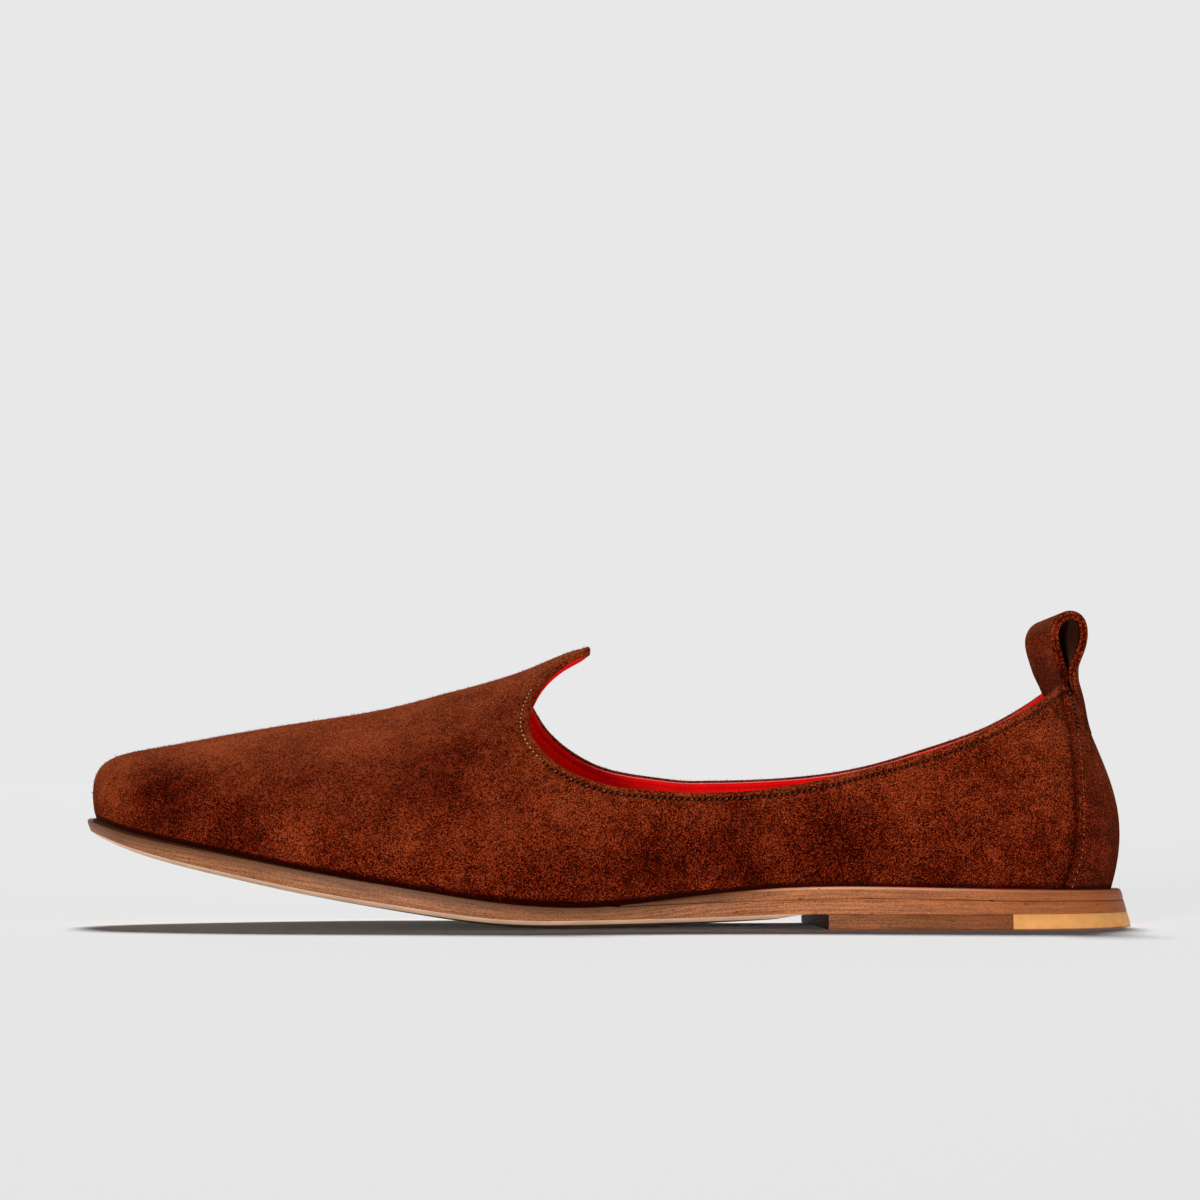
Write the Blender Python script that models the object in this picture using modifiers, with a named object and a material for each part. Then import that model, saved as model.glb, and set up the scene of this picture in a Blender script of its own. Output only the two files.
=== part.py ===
"""Left slip-on shoe in suede, with a peaked vamp, a pull loop and a leather sole.

Metres, +Z up. The toe points to -X and the outer (lateral) side of the foot to -Y.
The origin is on the ground under the middle of the shoe. The tables are in millimetres.
"""

import math

import bmesh
import bpy
import numpy as np

MM = 0.001

# Driving sizes, in millimetres.
WALL = 2.4  # suede and lining together
GAP = 0.3  # between pieces that touch
INSOLE = 2.2
STRIP = 1.1  # back strip
LOOP_WIDTH = 19.0
LOOP_THICK = 2.5
TAB_THICK = 1.3  # the loop's ends, where they are sewn down
HEEL_TOP = 4.3  # underside of the outsole over the heel
HEEL_RAMP = (47.0, 57.0)  # where the underside climbs to it
SOLE_BEVEL = 1.2  # lower edge of the forepart
SOLE_RIM = 0.5  # rounding of the upper edge
HEEL_BREAST = (62.0, 57.5)  # front of the heel at the outer and the inner side
TIP_FRONT = 113.5  # front of the rubber heel tip
SEAT_FRONT = 3.0  # feather end of the heel seat layer
SEAT_LEAST = 0.25
SEAM_FOOT = -36.0  # where the line between vamp and quarter leaves the sole

# One row a section of the last, from the back of the heel to the tip of the toe.
#   x, outer, inner   where the section meets the sole: its place and its two half breadths
#   foot              height of the upper's lower edge
#   ridge, top        x of the section's top, and its distance from the ridge line (0 on the vamp)
#   flare_out/in      how far the wall's first handle leans out
#   wall, crown       lengths of the lower and upper handle, as shares of height and breadth
#   drop              how far the upper handle hangs below the ridge, as a share of height
#   seat              thickness of the heel seat layer
#   margin, under     how far the sole stands out, at its top and at its lowest
#   tread, rise       height of the sole's underside at the middle, and its rise to the edge
SECTIONS = np.array(
    [
        # x, outer, inner, foot, ridge, top, fl_o, fl_i, wall, cr_o, cr_i, drop, seat, marg, under, tread, rise
        (144.4, -2.0, 2.0, 10.8, 129.0, 0.0, 10.3, 10.3, 0.38, 0.16, 0.16, 0.57, 3.0, 4.0, 7.0, 4.3, 0.0),
        (141.0, 11.0, 14.5, 10.8, 127.5, 5.0, 9.8, 9.8, 0.38, 0.21, 0.21, 0.56, 3.0, 3.8, 6.4, 4.3, 0.0),
        (132.6, 20.8, 23.4, 10.9, 123.5, 9.0, 8.8, 8.8, 0.37, 0.32, 0.32, 0.54, 3.0, 3.2, 5.0, 4.3, 0.0),
        (119.0, 27.2, 28.4, 11.1, 114.0, 12.0, 7.6, 7.8, 0.35, 0.45, 0.45, 0.50, 3.1, 2.6, 3.8, 4.3, 0.0),
        (100.0, 30.0, 29.8, 11.5, 98.0, 13.0, 6.6, 7.2, 0.33, 0.55, 0.55, 0.44, 3.1, 2.2, 3.0, 4.3, 0.0),
        (75.0, 31.0, 28.2, 12.0, 74.0, 12.0, 6.0, 7.5, 0.32, 0.60, 0.60, 0.38, 3.2, 1.9, 2.6, 4.3, 0.0),
        (48.0, 32.6, 24.8, 11.6, 48.0, 9.0, 5.5, 8.5, 0.32, 0.60, 0.62, 0.34, 3.3, 1.7, 1.0, 2.4, 0.7),
        (20.0, 36.8, 24.6, 9.0, 20.0, 5.0, 4.8, 8.0, 0.32, 0.56, 0.64, 0.24, 1.6, 1.7, 1.0, 0.9, 1.3),
        (-5.0, 42.2, 31.6, 6.6, -5.0, 0.0, 4.2, 6.0, 0.34, 0.47, 0.63, 0.08, 0.0, 2.0, 1.3, -0.2, 2.0),
        (-30.0, 46.4, 41.2, 7.9, -29.5, 0.0, 3.6, 4.2, 0.37, 0.46, 0.59, 0.00, 0.0, 2.4, 1.7, 0.5, 1.7),
        (-55.0, 46.6, 47.0, 11.8, -53.5, 0.0, 3.2, 3.4, 0.40, 0.46, 0.53, 0.00, 0.0, 2.7, 2.0, 4.0, 1.3),
        (-80.0, 43.2, 46.8, 16.0, -76.5, 0.0, 3.0, 3.0, 0.44, 0.49, 0.50, 0.00, 0.0, 2.8, 2.1, 8.3, 1.0),
        (-103.0, 35.9, 42.0, 20.4, -97.0, 0.0, 3.0, 3.0, 0.50, 0.55, 0.55, 0.00, 0.0, 2.8, 2.0, 13.0, 0.9),
        (-122.0, 26.2, 35.6, 24.0, -111.5, 0.0, 3.0, 3.0, 0.60, 0.62, 0.62, 0.00, 0.0, 2.8, 1.6, 17.2, 0.8),
        (-137.6, 14.4, 28.4, 27.4, -119.5, 0.0, 3.2, 3.2, 0.74, 0.70, 0.70, 0.00, 0.0, 2.8, 1.2, 21.5, 0.6),
        (-146.0, 3.6, 20.6, 30.0, -122.5, 0.0, 3.6, 3.6, 0.85, 0.76, 0.76, 0.00, 0.0, 2.8, 1.0, 24.7, 0.3),
        (-149.4, -9.0, 9.0, 31.0, -123.2, 0.0, 4.0, 4.0, 0.90, 0.79, 0.79, 0.00, 0.0, 2.8, 0.8, 26.0, 0.0),
    ]
)
COLUMNS = (
    "x outer inner foot ridge top flare_out flare_in wall crown_out crown_in drop seat margin under tread rise"
).split()

# The ridge over the foot, x y z. It ends in the peak at PEAK_TIP and runs on, as the last does, to the heel.
RIDGE = np.array(
    [
        (-123.2, 8.0, 52.9),
        (-110.0, 7.6, 55.3),
        (-87.0, 6.6, 59.1),
        (-64.0, 5.0, 62.9),
        (-46.0, 3.6, 67.5),
        (-32.0, 2.7, 71.3),
        (-22.0, 2.1, 74.8),
        (-14.0, 1.7, 78.2),
        (-9.0, 1.5, 79.9),
        (-5.0, 1.4, 80.7),
        (10.0, 1.3, 83.5),
        (50.0, 1.3, 89.5),
        (100.0, 1.5, 95.5),
        (130.0, 1.6, 100.0),
    ]
)
PEAK_TIP = -5.3

# The edge of the opening, from the peak by the throat to the back: x z on the outer side, x z on the inner.
COLLAR = (
    (-7.2, 79.0, -7.4, 78.9),
    (-10.2, 77.4, -10.6, 77.2),
    (-13.2, 75.3, -13.8, 75.3),
    (-16.2, 72.8, -17.0, 73.0),
    (-18.9, 69.6, -20.0, 70.4),
    (-21.0, 65.6, -22.1, 68.0),
    (-22.3, 61.6, -22.8, 66.0),
    (-22.5, 58.0, -22.2, 64.0),
    (-21.3, 54.2, -20.7, 61.3),
    (-18.4, 50.3, -18.6, 58.0),
    (-13.4, 46.0, -13.6, 52.8),
    (-5.6, 42.3, -5.6, 47.6),
    (5.0, 39.8, 5.0, 44.2),
    (20.0, 38.6, 20.0, 42.1),
    (38.0, 38.9, 38.0, 42.0),
    (56.0, 40.8, 56.0, 43.0),
    (75.0, 44.5, 75.0, 45.8),
    (95.0, 49.9, 95.0, 51.6),
    (112.0, 56.7, 112.0, 58.8),
    (124.0, 62.8, 124.0, 65.0),
    (131.0, 67.2, 131.0, 67.7),
)
CORNER = 10  # the row of COLLAR, counted from 1, where the line between vamp and quarter meets it
BACK_HEIGHT = 68.0

# The back strip's edge as seen from the side, z x.
STRIP_EDGE = ((11.8, 129.6), (20.0, 132.2), (30.0, 133.2), (44.0, 133.2), (56.0, 132.6), (66.0, 130.6))

# The loop's middle line above the collar, x z, from the outer leg round to the inner one.
LOOP = (
    (136.4, 69.4),
    (134.8, 72.4),
    (134.5, 76.0),
    (135.2, 80.0),
    (135.0, 84.0),
    (133.3, 86.4),
    (130.6, 87.3),
    (127.9, 86.2),
    (126.2, 83.6),
    (126.4, 79.4),
    (128.3, 75.4),
    (130.3, 72.4),
    (131.0, 69.4),
)
LOOP_TAB_END = 52.0  # lower end of the outer leg
LOOP_TAIL_END = 57.0  # lower end of the inner leg
LOOP_YAW = math.radians(19)  # turn of the loop at its top
LOOP_LEAN = math.tan(math.radians(11))  # how the inner edge sinks at the top


# ---------------------------------------------------------------- curves


def spline(knots, values, closed=False):
    """A cubic spline through values at knots: natural at its ends, or closed on itself."""
    knots = np.asarray(knots, float)
    values = np.asarray(values, float).reshape(len(knots), -1)
    if closed:  # three more turns' worth of points on each side settle the ends
        span = knots[-1] - knots[0]
        knots = np.concatenate([knots[-7:-1] - span, knots, knots[1:7] + span])
        values = np.concatenate([values[-7:-1], values, values[1:7]])
    n = len(knots)
    step = np.diff(knots)
    slope = np.diff(values, axis=0) / step[:, None]
    matrix = np.eye(n)
    right = np.zeros_like(values)
    for i in range(1, n - 1):
        matrix[i, i - 1 : i + 2] = step[i - 1], 2 * (step[i - 1] + step[i]), step[i]
        right[i] = 6 * (slope[i] - slope[i - 1])
    bend = np.linalg.solve(matrix, right)

    def at(t):
        t = np.atleast_1d(np.asarray(t, float))
        i = np.clip(np.searchsorted(knots, t) - 1, 0, n - 2)
        h, a, b = step[i][:, None], (knots[i + 1] - t)[:, None], (t - knots[i])[:, None]
        return (
            (bend[i] * a**3 + bend[i + 1] * b**3) / (6 * h)
            + (values[i] / h - bend[i] * h / 6) * a
            + (values[i + 1] / h - bend[i + 1] * h / 6) * b
        )

    return at


def smoothstep(low, high, value):
    s = np.clip((value - low) / (high - low), 0, 1)
    return s * s * (3 - 2 * s)


def crowded(count, ends=0.08):
    """Shares from 0 to 1, closer together at both ends."""
    share = np.linspace(0, 1, count)
    return share - ends * np.sin(2 * math.pi * share)


def chord(points):
    """Length along a row of points, from its first."""
    return np.concatenate([[0], np.cumsum(np.linalg.norm(np.diff(points, axis=0), axis=1))])


# ---------------------------------------------------------------- the last


def last_rows():
    """The sections as one closed round: heel, outer side, toe, inner side, heel."""
    column = {name: SECTIONS[:, i] for i, name in enumerate(COLUMNS)}
    shared = [column[c] for c in ("foot", "ridge", "wall", *COLUMNS[11:])]
    sides = []
    for sign, name, end in ((-1, "outer", "_out"), (1, "inner", "_in")):
        own = [column["x"], sign * column[name], sign * column["top"], column["flare" + end], column["crown" + end]]
        sides.append(np.stack(own + shared, axis=1))
    outer, inner = sides
    return np.concatenate([outer, inner[-2::-1]])


ROWS = last_rows()
KNOTS = chord(ROWS[:, :2])
ROUND = spline(KNOTS, ROWS, closed=True)
RIDGE_AT = spline(RIDGE[:, 0], RIDGE[:, 1:])
TOE_T, FULL_T = KNOTS[len(SECTIONS) - 1], KNOTS[-1]
NAMES = ["x", "y", "top", "flare", "crown", "foot", "ridge", "wall", *COLUMNS[11:]]


def at(t):
    """The section values at t, by name. t runs from the heel's back, by the outer side, round to it again."""
    return dict(zip(NAMES, ROUND(np.mod(t, FULL_T)).T))


def outward(t):
    """The plan direction that points out of the shoe at t."""
    t = np.asarray(t, float)
    d = (ROUND(np.mod(t + 0.5, FULL_T)) - ROUND(np.mod(t - 0.5, FULL_T)))[:, :2]
    d /= np.linalg.norm(d, axis=1)[:, None]
    return np.stack([-d[:, 1], d[:, 0]], axis=1)


def last_point(t, v):
    """A point of the last: v is 0 at the sole and 1 on the ridge."""
    t, v = np.atleast_1d(t).astype(float), np.atleast_1d(v).astype(float)
    row = at(t)
    rx = row["ridge"]
    behind = smoothstep(PEAK_TIP - 3, 25, rx)  # ahead of the peak's tip the two sides join smoothly on the ridge
    ridge = np.column_stack([rx, RIDGE_AT(rx)])
    ridge[:, 1] += row["top"] * behind
    slope = (RIDGE_AT(rx + 0.5) - RIDGE_AT(rx - 0.5))[:, 1]
    foot = np.column_stack([row["x"], row["y"], row["foot"]])
    height = ridge[:, 2] - foot[:, 2]
    low = foot.copy()
    low[:, :2] += outward(t) * row["flare"][:, None]
    low[:, 2] += row["wall"] * height
    reach = (foot - ridge) * row["crown"][:, None]
    high = ridge + reach
    high[:, 2] = ridge[:, 2] + slope * reach[:, 0] - row["drop"] * height * behind
    v = v[:, None]
    w = 1 - v
    return w**3 * foot + 3 * w * w * v * low + 3 * w * v * v * high + v**3 * ridge


def last_normal(t, v):
    """The direction out of the last at a point of it."""
    e = 0.01
    v = np.clip(v, 2 * e, 1 - 2 * e)
    along = last_point(t + 0.2, v) - last_point(t - 0.2, v)
    up = last_point(t, v + e) - last_point(t, v - e)
    n = np.cross(up, along)
    return n / np.linalg.norm(n, axis=1)[:, None]


# A net over each side of the last, for finding a point by its place.
NET_V = np.linspace(0, 1, 161)
NET_T = {-1: np.linspace(0, TOE_T, 241), 1: np.linspace(FULL_T, TOE_T, 241)}
NET = {
    side: last_point(np.repeat(ts, len(NET_V)), np.tile(NET_V, len(ts))).reshape(len(ts), len(NET_V), 3)
    for side, ts in NET_T.items()
}


def find(side, x, z):
    """(t, v) of the point on one side (-1 outer, 1 inner) at this x and height."""
    vs = np.array([np.interp(z, line[:, 2], NET_V) for line in NET[side]])
    xs = np.array([np.interp(v, NET_V, line[:, 0]) for v, line in zip(vs, NET[side])])
    order = np.argsort(xs)
    return np.interp(x, xs[order], NET_T[side][order]), np.interp(x, xs[order], vs[order])


def collar_line(side):
    """The collar on one side as (t, v), from beside the peak's tip to the back of the heel."""
    line = [find(side, *(row[2:] if side > 0 else row[:2])) for row in COLLAR]
    back = NET[-1][0]
    line.append((0.0 if side < 0 else FULL_T, np.interp(BACK_HEIGHT, back[:, 2], NET_V)))
    return np.array(line)


def smooth_line(line, count, ends=0.08):
    """count points (t, v) on a smooth curve through line, closer together at its ends."""
    length = chord(last_point(*line.T))
    fine = spline(length, line)(np.linspace(0, length[-1], 600))
    length = chord(last_point(*fine.T))
    places = length[-1] * crowded(count, ends)
    return np.stack([np.interp(places, length, fine[:, i]) for i in (0, 1)], axis=1)


def foot_t(side, x):
    """t where one side's lower edge is at x."""
    ts = NET_T[side]
    return np.interp(-x, -NET[side][:, 0, 0], ts)


# ---------------------------------------------------------------- meshes


def add_object(name, vertices, faces, material, collection, closed=True):
    """A smooth-shaded mesh object from points in millimetres, doubles merged and normals outwards."""
    mesh = bpy.data.meshes.new(name)
    mesh.from_pydata([tuple(p) for p in np.asarray(vertices) * MM], [], faces)
    work = bmesh.new()
    work.from_mesh(mesh)
    bmesh.ops.remove_doubles(work, verts=work.verts, dist=0.00002)
    bmesh.ops.dissolve_degenerate(work, edges=work.edges, dist=0.00001)
    if closed:
        bmesh.ops.recalc_face_normals(work, faces=work.faces)
    work.to_mesh(mesh)
    work.free()
    mesh.shade_smooth()
    mesh.set_sharp_from_angle(angle=math.radians(35))
    mesh.materials.append(material)
    obj = bpy.data.objects.new(name, mesh)
    collection.objects.link(obj)
    return obj


def net_faces(rows, columns, first=0, flip=False):
    """The four-sided faces of a rows x columns net of points, row by row."""
    faces = []
    for r in range(rows - 1):
        for c in range(columns - 1):
            a = first + r * columns + c
            face = (a, a + 1, a + columns + 1, a + columns)
            faces.append(face[::-1] if flip else face)
    return faces


def loft_solid(loops):
    """Vertices and faces of a closed solid through equal closed loops of points, with its two ends filled."""
    loops = [np.asarray(loop) for loop in loops]
    size = len(loops[0])
    faces = []
    for k in range(len(loops) - 1):
        for i in range(size):
            j = (i + 1) % size
            faces.append((k * size + i, k * size + j, (k + 1) * size + j, (k + 1) * size + i))
    faces.append(tuple(range(size)))
    faces.append(tuple(range((len(loops) - 1) * size, len(loops) * size)))
    return np.concatenate(loops), faces


def material(name, colour, roughness):
    made = bpy.data.materials.new(name)
    made.use_nodes = True
    made.diffuse_color = (*colour, 1)
    shader = made.node_tree.nodes["Principled BSDF"]
    shader.inputs["Base Color"].default_value = (*colour, 1)
    shader.inputs["Roughness"].default_value = roughness
    shader.inputs["Metallic"].default_value = 0.0
    return made


# ---------------------------------------------------------------- pieces


def patch(foot, top, start, end, along, up):
    """Points of the last between four lines of (t, v), column by column: foot, top, first and last column.

    along and up hold the shares from 0 to 1 at which the columns and the rows lie.
    """
    a, b = along[:, None, None], up[None, :, None]
    net = (1 - b) * foot[:, None] + b * top[:, None] + (1 - a) * start[None] + a * end[None]
    net -= (1 - b) * ((1 - a) * foot[0] + a * foot[-1]) + b * ((1 - a) * top[0] + a * top[-1])
    return last_point(net[..., 0].ravel(), net[..., 1].ravel())


def make_upper(collection, suede, vamp=24, quarter=32, low=10, high=12):
    """The suede upper. On each side the vamp runs from the toe to a line up to the collar's corner and
    on along the throat to the peak's tip, and the quarter from the lower part of that line to the heel.
    """
    vertices, faces = [], []
    for side in (-1, 1):
        heel_t = 0.0 if side < 0 else FULL_T
        ridge_line = NET[side][:, -1, 0]
        tip_t = np.interp(-PEAK_TIP, -ridge_line, NET_T[side])
        collar = np.concatenate([[(tip_t, 1.0)], collar_line(side)])
        throat = smooth_line(collar[: CORNER + 1], high, 0.04)[::-1]
        corner, seam_t = throat[0], foot_t(side, SEAM_FOOT)
        low_share = np.linspace(0, 1, low)
        seam = np.column_stack([seam_t + (corner[0] - seam_t) * low_share**1.5, corner[1] * low_share])

        along, up = np.linspace(0, 1, vamp), np.linspace(0, 1, low + high - 1)
        ridge_x = ridge_line[-1] + (PEAK_TIP - ridge_line[-1]) * along
        front = patch(
            foot=np.column_stack([TOE_T + (seam_t - TOE_T) * along, np.zeros(vamp)]),
            top=np.column_stack([np.interp(-ridge_x, -ridge_line, NET_T[side]), np.ones(vamp)]),
            start=np.column_stack([np.full(len(up), TOE_T), up]),
            end=np.concatenate([seam, throat[1:]]),
            along=along,
            up=up,
        )
        along = crowded(quarter)
        rim = smooth_line(collar[CORNER:], quarter)
        back = patch(
            foot=np.column_stack([seam_t + (heel_t - seam_t) * along, np.zeros(quarter)]),
            top=rim,
            start=seam,
            end=np.column_stack([np.full(low, heel_t), rim[-1, 1] * low_share]),
            along=along,
            up=low_share,
        )
        for points, rows, columns in ((front, vamp, len(up)), (back, quarter, low)):
            faces += net_faces(rows, columns, len(vertices), flip=side < 0)
            vertices.extend(points)
    upper = add_object("upper", vertices, faces, suede, collection, closed=False)
    shell = upper.modifiers.new("wall", "SOLIDIFY")
    shell.thickness = WALL * MM
    shell.offset = -1
    return upper


def matched(count, front=None):
    """Places along both sides, heel to toe (or to the cross line x = front), with equal x: (t outer, t inner)."""
    outer = (TOE_T if front is None else foot_t(-1, front)) * crowded(count)
    inner = np.array([foot_t(1, x) for x in at(outer)["x"]])
    inner[0] = FULL_T
    if front is None:
        inner[-1] = TOE_T
    return outer, inner


def edge_ring(t, stand_out, height):
    """Points of the sole's outline at t, standing out from the upper's foot by stand_out, at these heights."""
    row = at(t)
    plan = np.column_stack([row["x"], row["y"]]) + outward(t) * np.broadcast_to(stand_out, t.shape)[:, None]
    return np.column_stack([plan, np.broadcast_to(height, t.shape)])


def plate(outer, inner, rings, underside=None, spans=()):
    """Vertices and faces of a plate: rings of points round its edge from top to bottom, spanned across.

    rings are functions of t. The underside is flat across, or underside(i, s) gives its height at the
    place i and the share s of the half breadth, and spans lists those shares.
    """
    count = len(outer)
    pointed = abs(outer[-1] - inner[-1]) < 1e-6
    t = np.concatenate([outer, inner[::-1][1 if pointed else 0 : -1]])
    size = len(t)
    vertices = list(np.concatenate([ring(t) for ring in rings]))
    faces = []
    for k in range(len(rings) - 1):
        for i in range(size):
            j = (i + 1) % size
            faces.append((k * size + i, k * size + j, (k + 1) * size + j, (k + 1) * size + i))

    def span(base, i, shares=()):
        """Indices across the plate at the place i, from the outer to the inner side."""
        a = base + i
        b = base + (i if i == 0 or (pointed and i == count - 1) else size - i)
        ids = [a]
        for s in shares:
            p = (vertices[a] + vertices[b]) / 2 + (vertices[b] - vertices[a]) / 2 * s
            p[2] = underside(i, abs(s))
            ids.append(len(vertices))
            vertices.append(p)
        return ids + [b]

    low = (len(rings) - 1) * size
    across = [*(-s for s in reversed(spans)), 0.0, *spans] if underside else []
    for base, shares in ((0, []), (low, across)):
        lines = [span(base, i, shares) for i in range(count)]
        for one, two in zip(lines, lines[1:]):
            for k in range(len(one) - 1):
                faces.append(tuple(dict.fromkeys((one[k], two[k], two[k + 1], one[k + 1]))))
    return vertices, faces


def underside_height(row, share):
    """Height of the outsole's underside at a share of the half breadth: flat at the ball and over the heel."""
    arched = np.maximum(row["tread"] + row["rise"] * smoothstep(0.4, 1.1, share), 0.0)
    over_heel = smoothstep(*HEEL_RAMP, row["x"])
    return arched + (HEEL_TOP - arched) * over_heel


def sole_margin(row, height):
    """How far the sole stands out at this height: margin at the upper's foot, under at the lowest."""
    lowest = np.where(row["x"] > min(HEEL_BREAST), 0.0, underside_height(row, 1.0))
    share = np.clip((row["foot"] - height) / np.maximum(row["foot"] - lowest, 0.1), 0, 1)
    return row["margin"] + (row["under"] - row["margin"]) * share


def make_outsole(collection, leather):
    """The outsole: a full plate with a bevelled lower edge, flat at the ball where it meets the ground."""
    outer, inner = matched(62)

    def top(row):
        return row["foot"] - np.where(row["seat"] > 0.2, row["seat"] + 2 * GAP, GAP)

    def bevel(row):
        return SOLE_BEVEL * (1 - smoothstep(*HEEL_RAMP, row["x"]))

    def ring(height_of, inset_of):
        def points(t):
            row = at(t)
            height = height_of(row)
            return edge_ring(t, sole_margin(row, height) - inset_of(row), height)

        return points

    def none(row):
        return np.zeros_like(row["x"])

    rings = [
        ring(top, lambda row: none(row) + SOLE_RIM),
        ring(lambda row: top(row) - SOLE_RIM, none),
        ring(lambda row: underside_height(row, 1.0) + bevel(row), none),
        ring(lambda row: underside_height(row, 1.0), bevel),
    ]
    rows = at(outer)

    def underside(i, s):
        return underside_height({name: rows[name][i] for name in ("x", "tread", "rise")}, s)

    vertices, faces = plate(outer, inner, rings, underside, spans=(0.4, 0.75))
    return add_object("outsole", vertices, faces, leather, collection)


def make_heel_seat(collection, leather):
    """The tapered layer between the outsole and the upper, from the waist to the heel."""
    outer, inner = matched(36, SEAT_FRONT)

    def low(row):
        return np.minimum(row["foot"] - row["seat"], row["foot"] - SEAT_LEAST) - GAP

    def ring(height_of, inset):
        def points(t):
            row = at(t)
            height = height_of(row)
            return edge_ring(t, sole_margin(row, height) - inset, height)

        return points

    rings = [
        ring(lambda row: row["foot"] - GAP, 0.4),
        ring(lambda row: np.maximum(row["foot"] - GAP - 0.4, low(row) + 0.1), 0.0),
        ring(low, 0.0),
    ]
    vertices, faces = plate(outer, inner, rings)
    return add_object("heel_seat", vertices, faces, leather, collection)


def heel_piece(name, back, front, rubber, collection, count=20):
    """A slice of the heel between two cross lines, each given as its x at the outer and at the inner side."""
    span = []
    for side, line in ((-1, 0), (1, 1)):
        start = (0.0 if side < 0 else FULL_T) if back is None else foot_t(side, back[line])
        span.append(np.linspace(start, foot_t(side, front[line]), count))
    t = np.concatenate([span[0], span[1][::-1][: None if back else -1]])
    top, bevel = HEEL_TOP - GAP, 0.5
    loops = []
    for height, inset in ((top, 0.0), (bevel, 0.0), (0.0, bevel)):
        loops.append(edge_ring(t, sole_margin(at(t), np.full(t.shape, height)) - inset, height))
    vertices, faces = loft_solid(loops)
    return add_object(name, vertices, faces, rubber, collection)


def make_insole(collection, lining):
    """The sock inside, on the outsole and the heel seat, its edge drawn from the last inside the wall."""
    outer, inner = matched(50)

    def ring(lift):
        def points(t):
            row = at(t)
            v = lift / (3 * row["wall"] * (RIDGE_AT(row["ridge"])[:, 1] - row["foot"]))
            inside = last_point(t, v) - last_normal(t, v) * (WALL + 2 * GAP)
            inside[:, 2] = row["foot"] + lift
            return inside

        return points

    vertices, faces = plate(outer, inner, [ring(INSOLE), ring(0.0)])
    return add_object("insole", vertices, faces, lining, collection)


def back_slice(z, off, places):
    """Points off the heel's back by off, from its line at height z, at these distances round from the middle."""
    t = np.linspace(60, -60, 121)
    v = np.where(t > 0, np.interp(abs(t), *last_slice(-1, z)), np.interp(abs(t), *last_slice(1, z)))
    points = last_point(t, v) + last_normal(t, v) * off
    length = chord(points)
    length -= length[60]
    return np.column_stack([np.interp(places, length, points[:, i]) for i in range(3)])


def last_slice(side, z):
    """(distances from the heel's back, v at height z) along one side of the last."""
    near = NET[side][:60]
    away = NET_T[side][:60] if side < 0 else FULL_T - NET_T[side][:60]
    return away, [np.interp(z, line[:, 2], NET_V) for line in near]


def make_heel_strip(collection, suede, rows=14, columns=15):
    """The strip over the back seam, cut from the last's own surface between two offsets."""
    edge = spline(*zip(*STRIP_EDGE))
    vertices = []
    for z in np.linspace(STRIP_EDGE[0][0], STRIP_EDGE[-1][0], rows):
        x = float(edge(z)[0, 0])
        (ta, va), (tb, vb) = find(-1, x, z), find(1, x, z)
        t = np.linspace(ta, tb - FULL_T, columns)
        v = np.where(t > 0, np.interp(abs(t), *last_slice(-1, z)), np.interp(abs(t), *last_slice(1, z)))
        vertices.extend(last_point(t, v) + last_normal(t, v) * GAP)
    strip = add_object("heel_strip", vertices, net_faces(rows, columns), suede, collection, closed=False)
    shell = strip.modifiers.new("thickness", "SOLIDIFY")
    shell.thickness = STRIP * MM
    shell.offset = 1
    return strip


def make_pull_loop(collection, suede, across=7):
    """A strap sewn down outside and inside the back of the collar, with a free loop above it."""
    places = np.linspace(-1, 1, across) * LOOP_WIDTH / 2
    outside = GAP + STRIP + GAP + TAB_THICK / 2
    inside = -WALL - 2 * GAP - TAB_THICK / 2
    loop = np.array(LOOP)
    fine = spline(chord(loop), loop)(np.linspace(0, chord(loop)[-1], 33))
    low, high = loop[0, 1], loop[:, 1].max()
    middle_y = back_slice(BACK_HEIGHT, outside, [0.0])[0, 1]
    pivot = loop[:, 0].mean()
    rows = [back_slice(z, outside, places) for z in np.linspace(LOOP_TAB_END, BACK_HEIGHT - 1.5, 6)]
    thick = [TAB_THICK] * len(rows)
    for i, (x, z) in enumerate(fine):
        share = min((z - low) / (high - low), 1.0)
        yaw = LOOP_YAW * smoothstep(0, 0.7, share)
        flat = np.column_stack(
            [
                pivot + (x - pivot) * math.cos(yaw) - places * math.sin(yaw),
                middle_y + places * math.cos(yaw) + (x - pivot) * math.sin(yaw),
                z - places * LOOP_LEAN * share,
            ]
        )
        leg = back_slice(BACK_HEIGHT, outside if i < len(fine) // 2 else inside, places)
        bow = leg - back_slice(BACK_HEIGHT, outside if i < len(fine) // 2 else inside, [0.0])
        bow[:, 1] -= places
        bow[:, 2] = 0
        rows.append(flat + bow * (1 - smoothstep(0, 0.6, share)))
        thick.append(TAB_THICK + (LOOP_THICK - TAB_THICK) * smoothstep(0, 0.25, share))
    for z in np.linspace(BACK_HEIGHT, LOOP_TAIL_END, 5):
        rows.append(back_slice(z, inside, places))
        thick.append(TAB_THICK)
    rows = np.array(rows)
    for _ in range(2):
        rows[1:-1] = (rows[:-2] + 2 * rows[1:-1] + rows[2:]) / 4
    normal = np.cross(np.gradient(rows, axis=1), np.gradient(rows, axis=0))
    normal /= np.linalg.norm(normal, axis=2)[:, :, None]
    half = normal * (np.array(thick) / 2)[:, None, None]
    loops = [np.concatenate([row + h, (row - h)[::-1]]) for row, h in zip(rows, half)]
    vertices, faces = loft_solid(loops)
    return add_object("pull_loop", vertices, faces, suede, collection)


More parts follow.
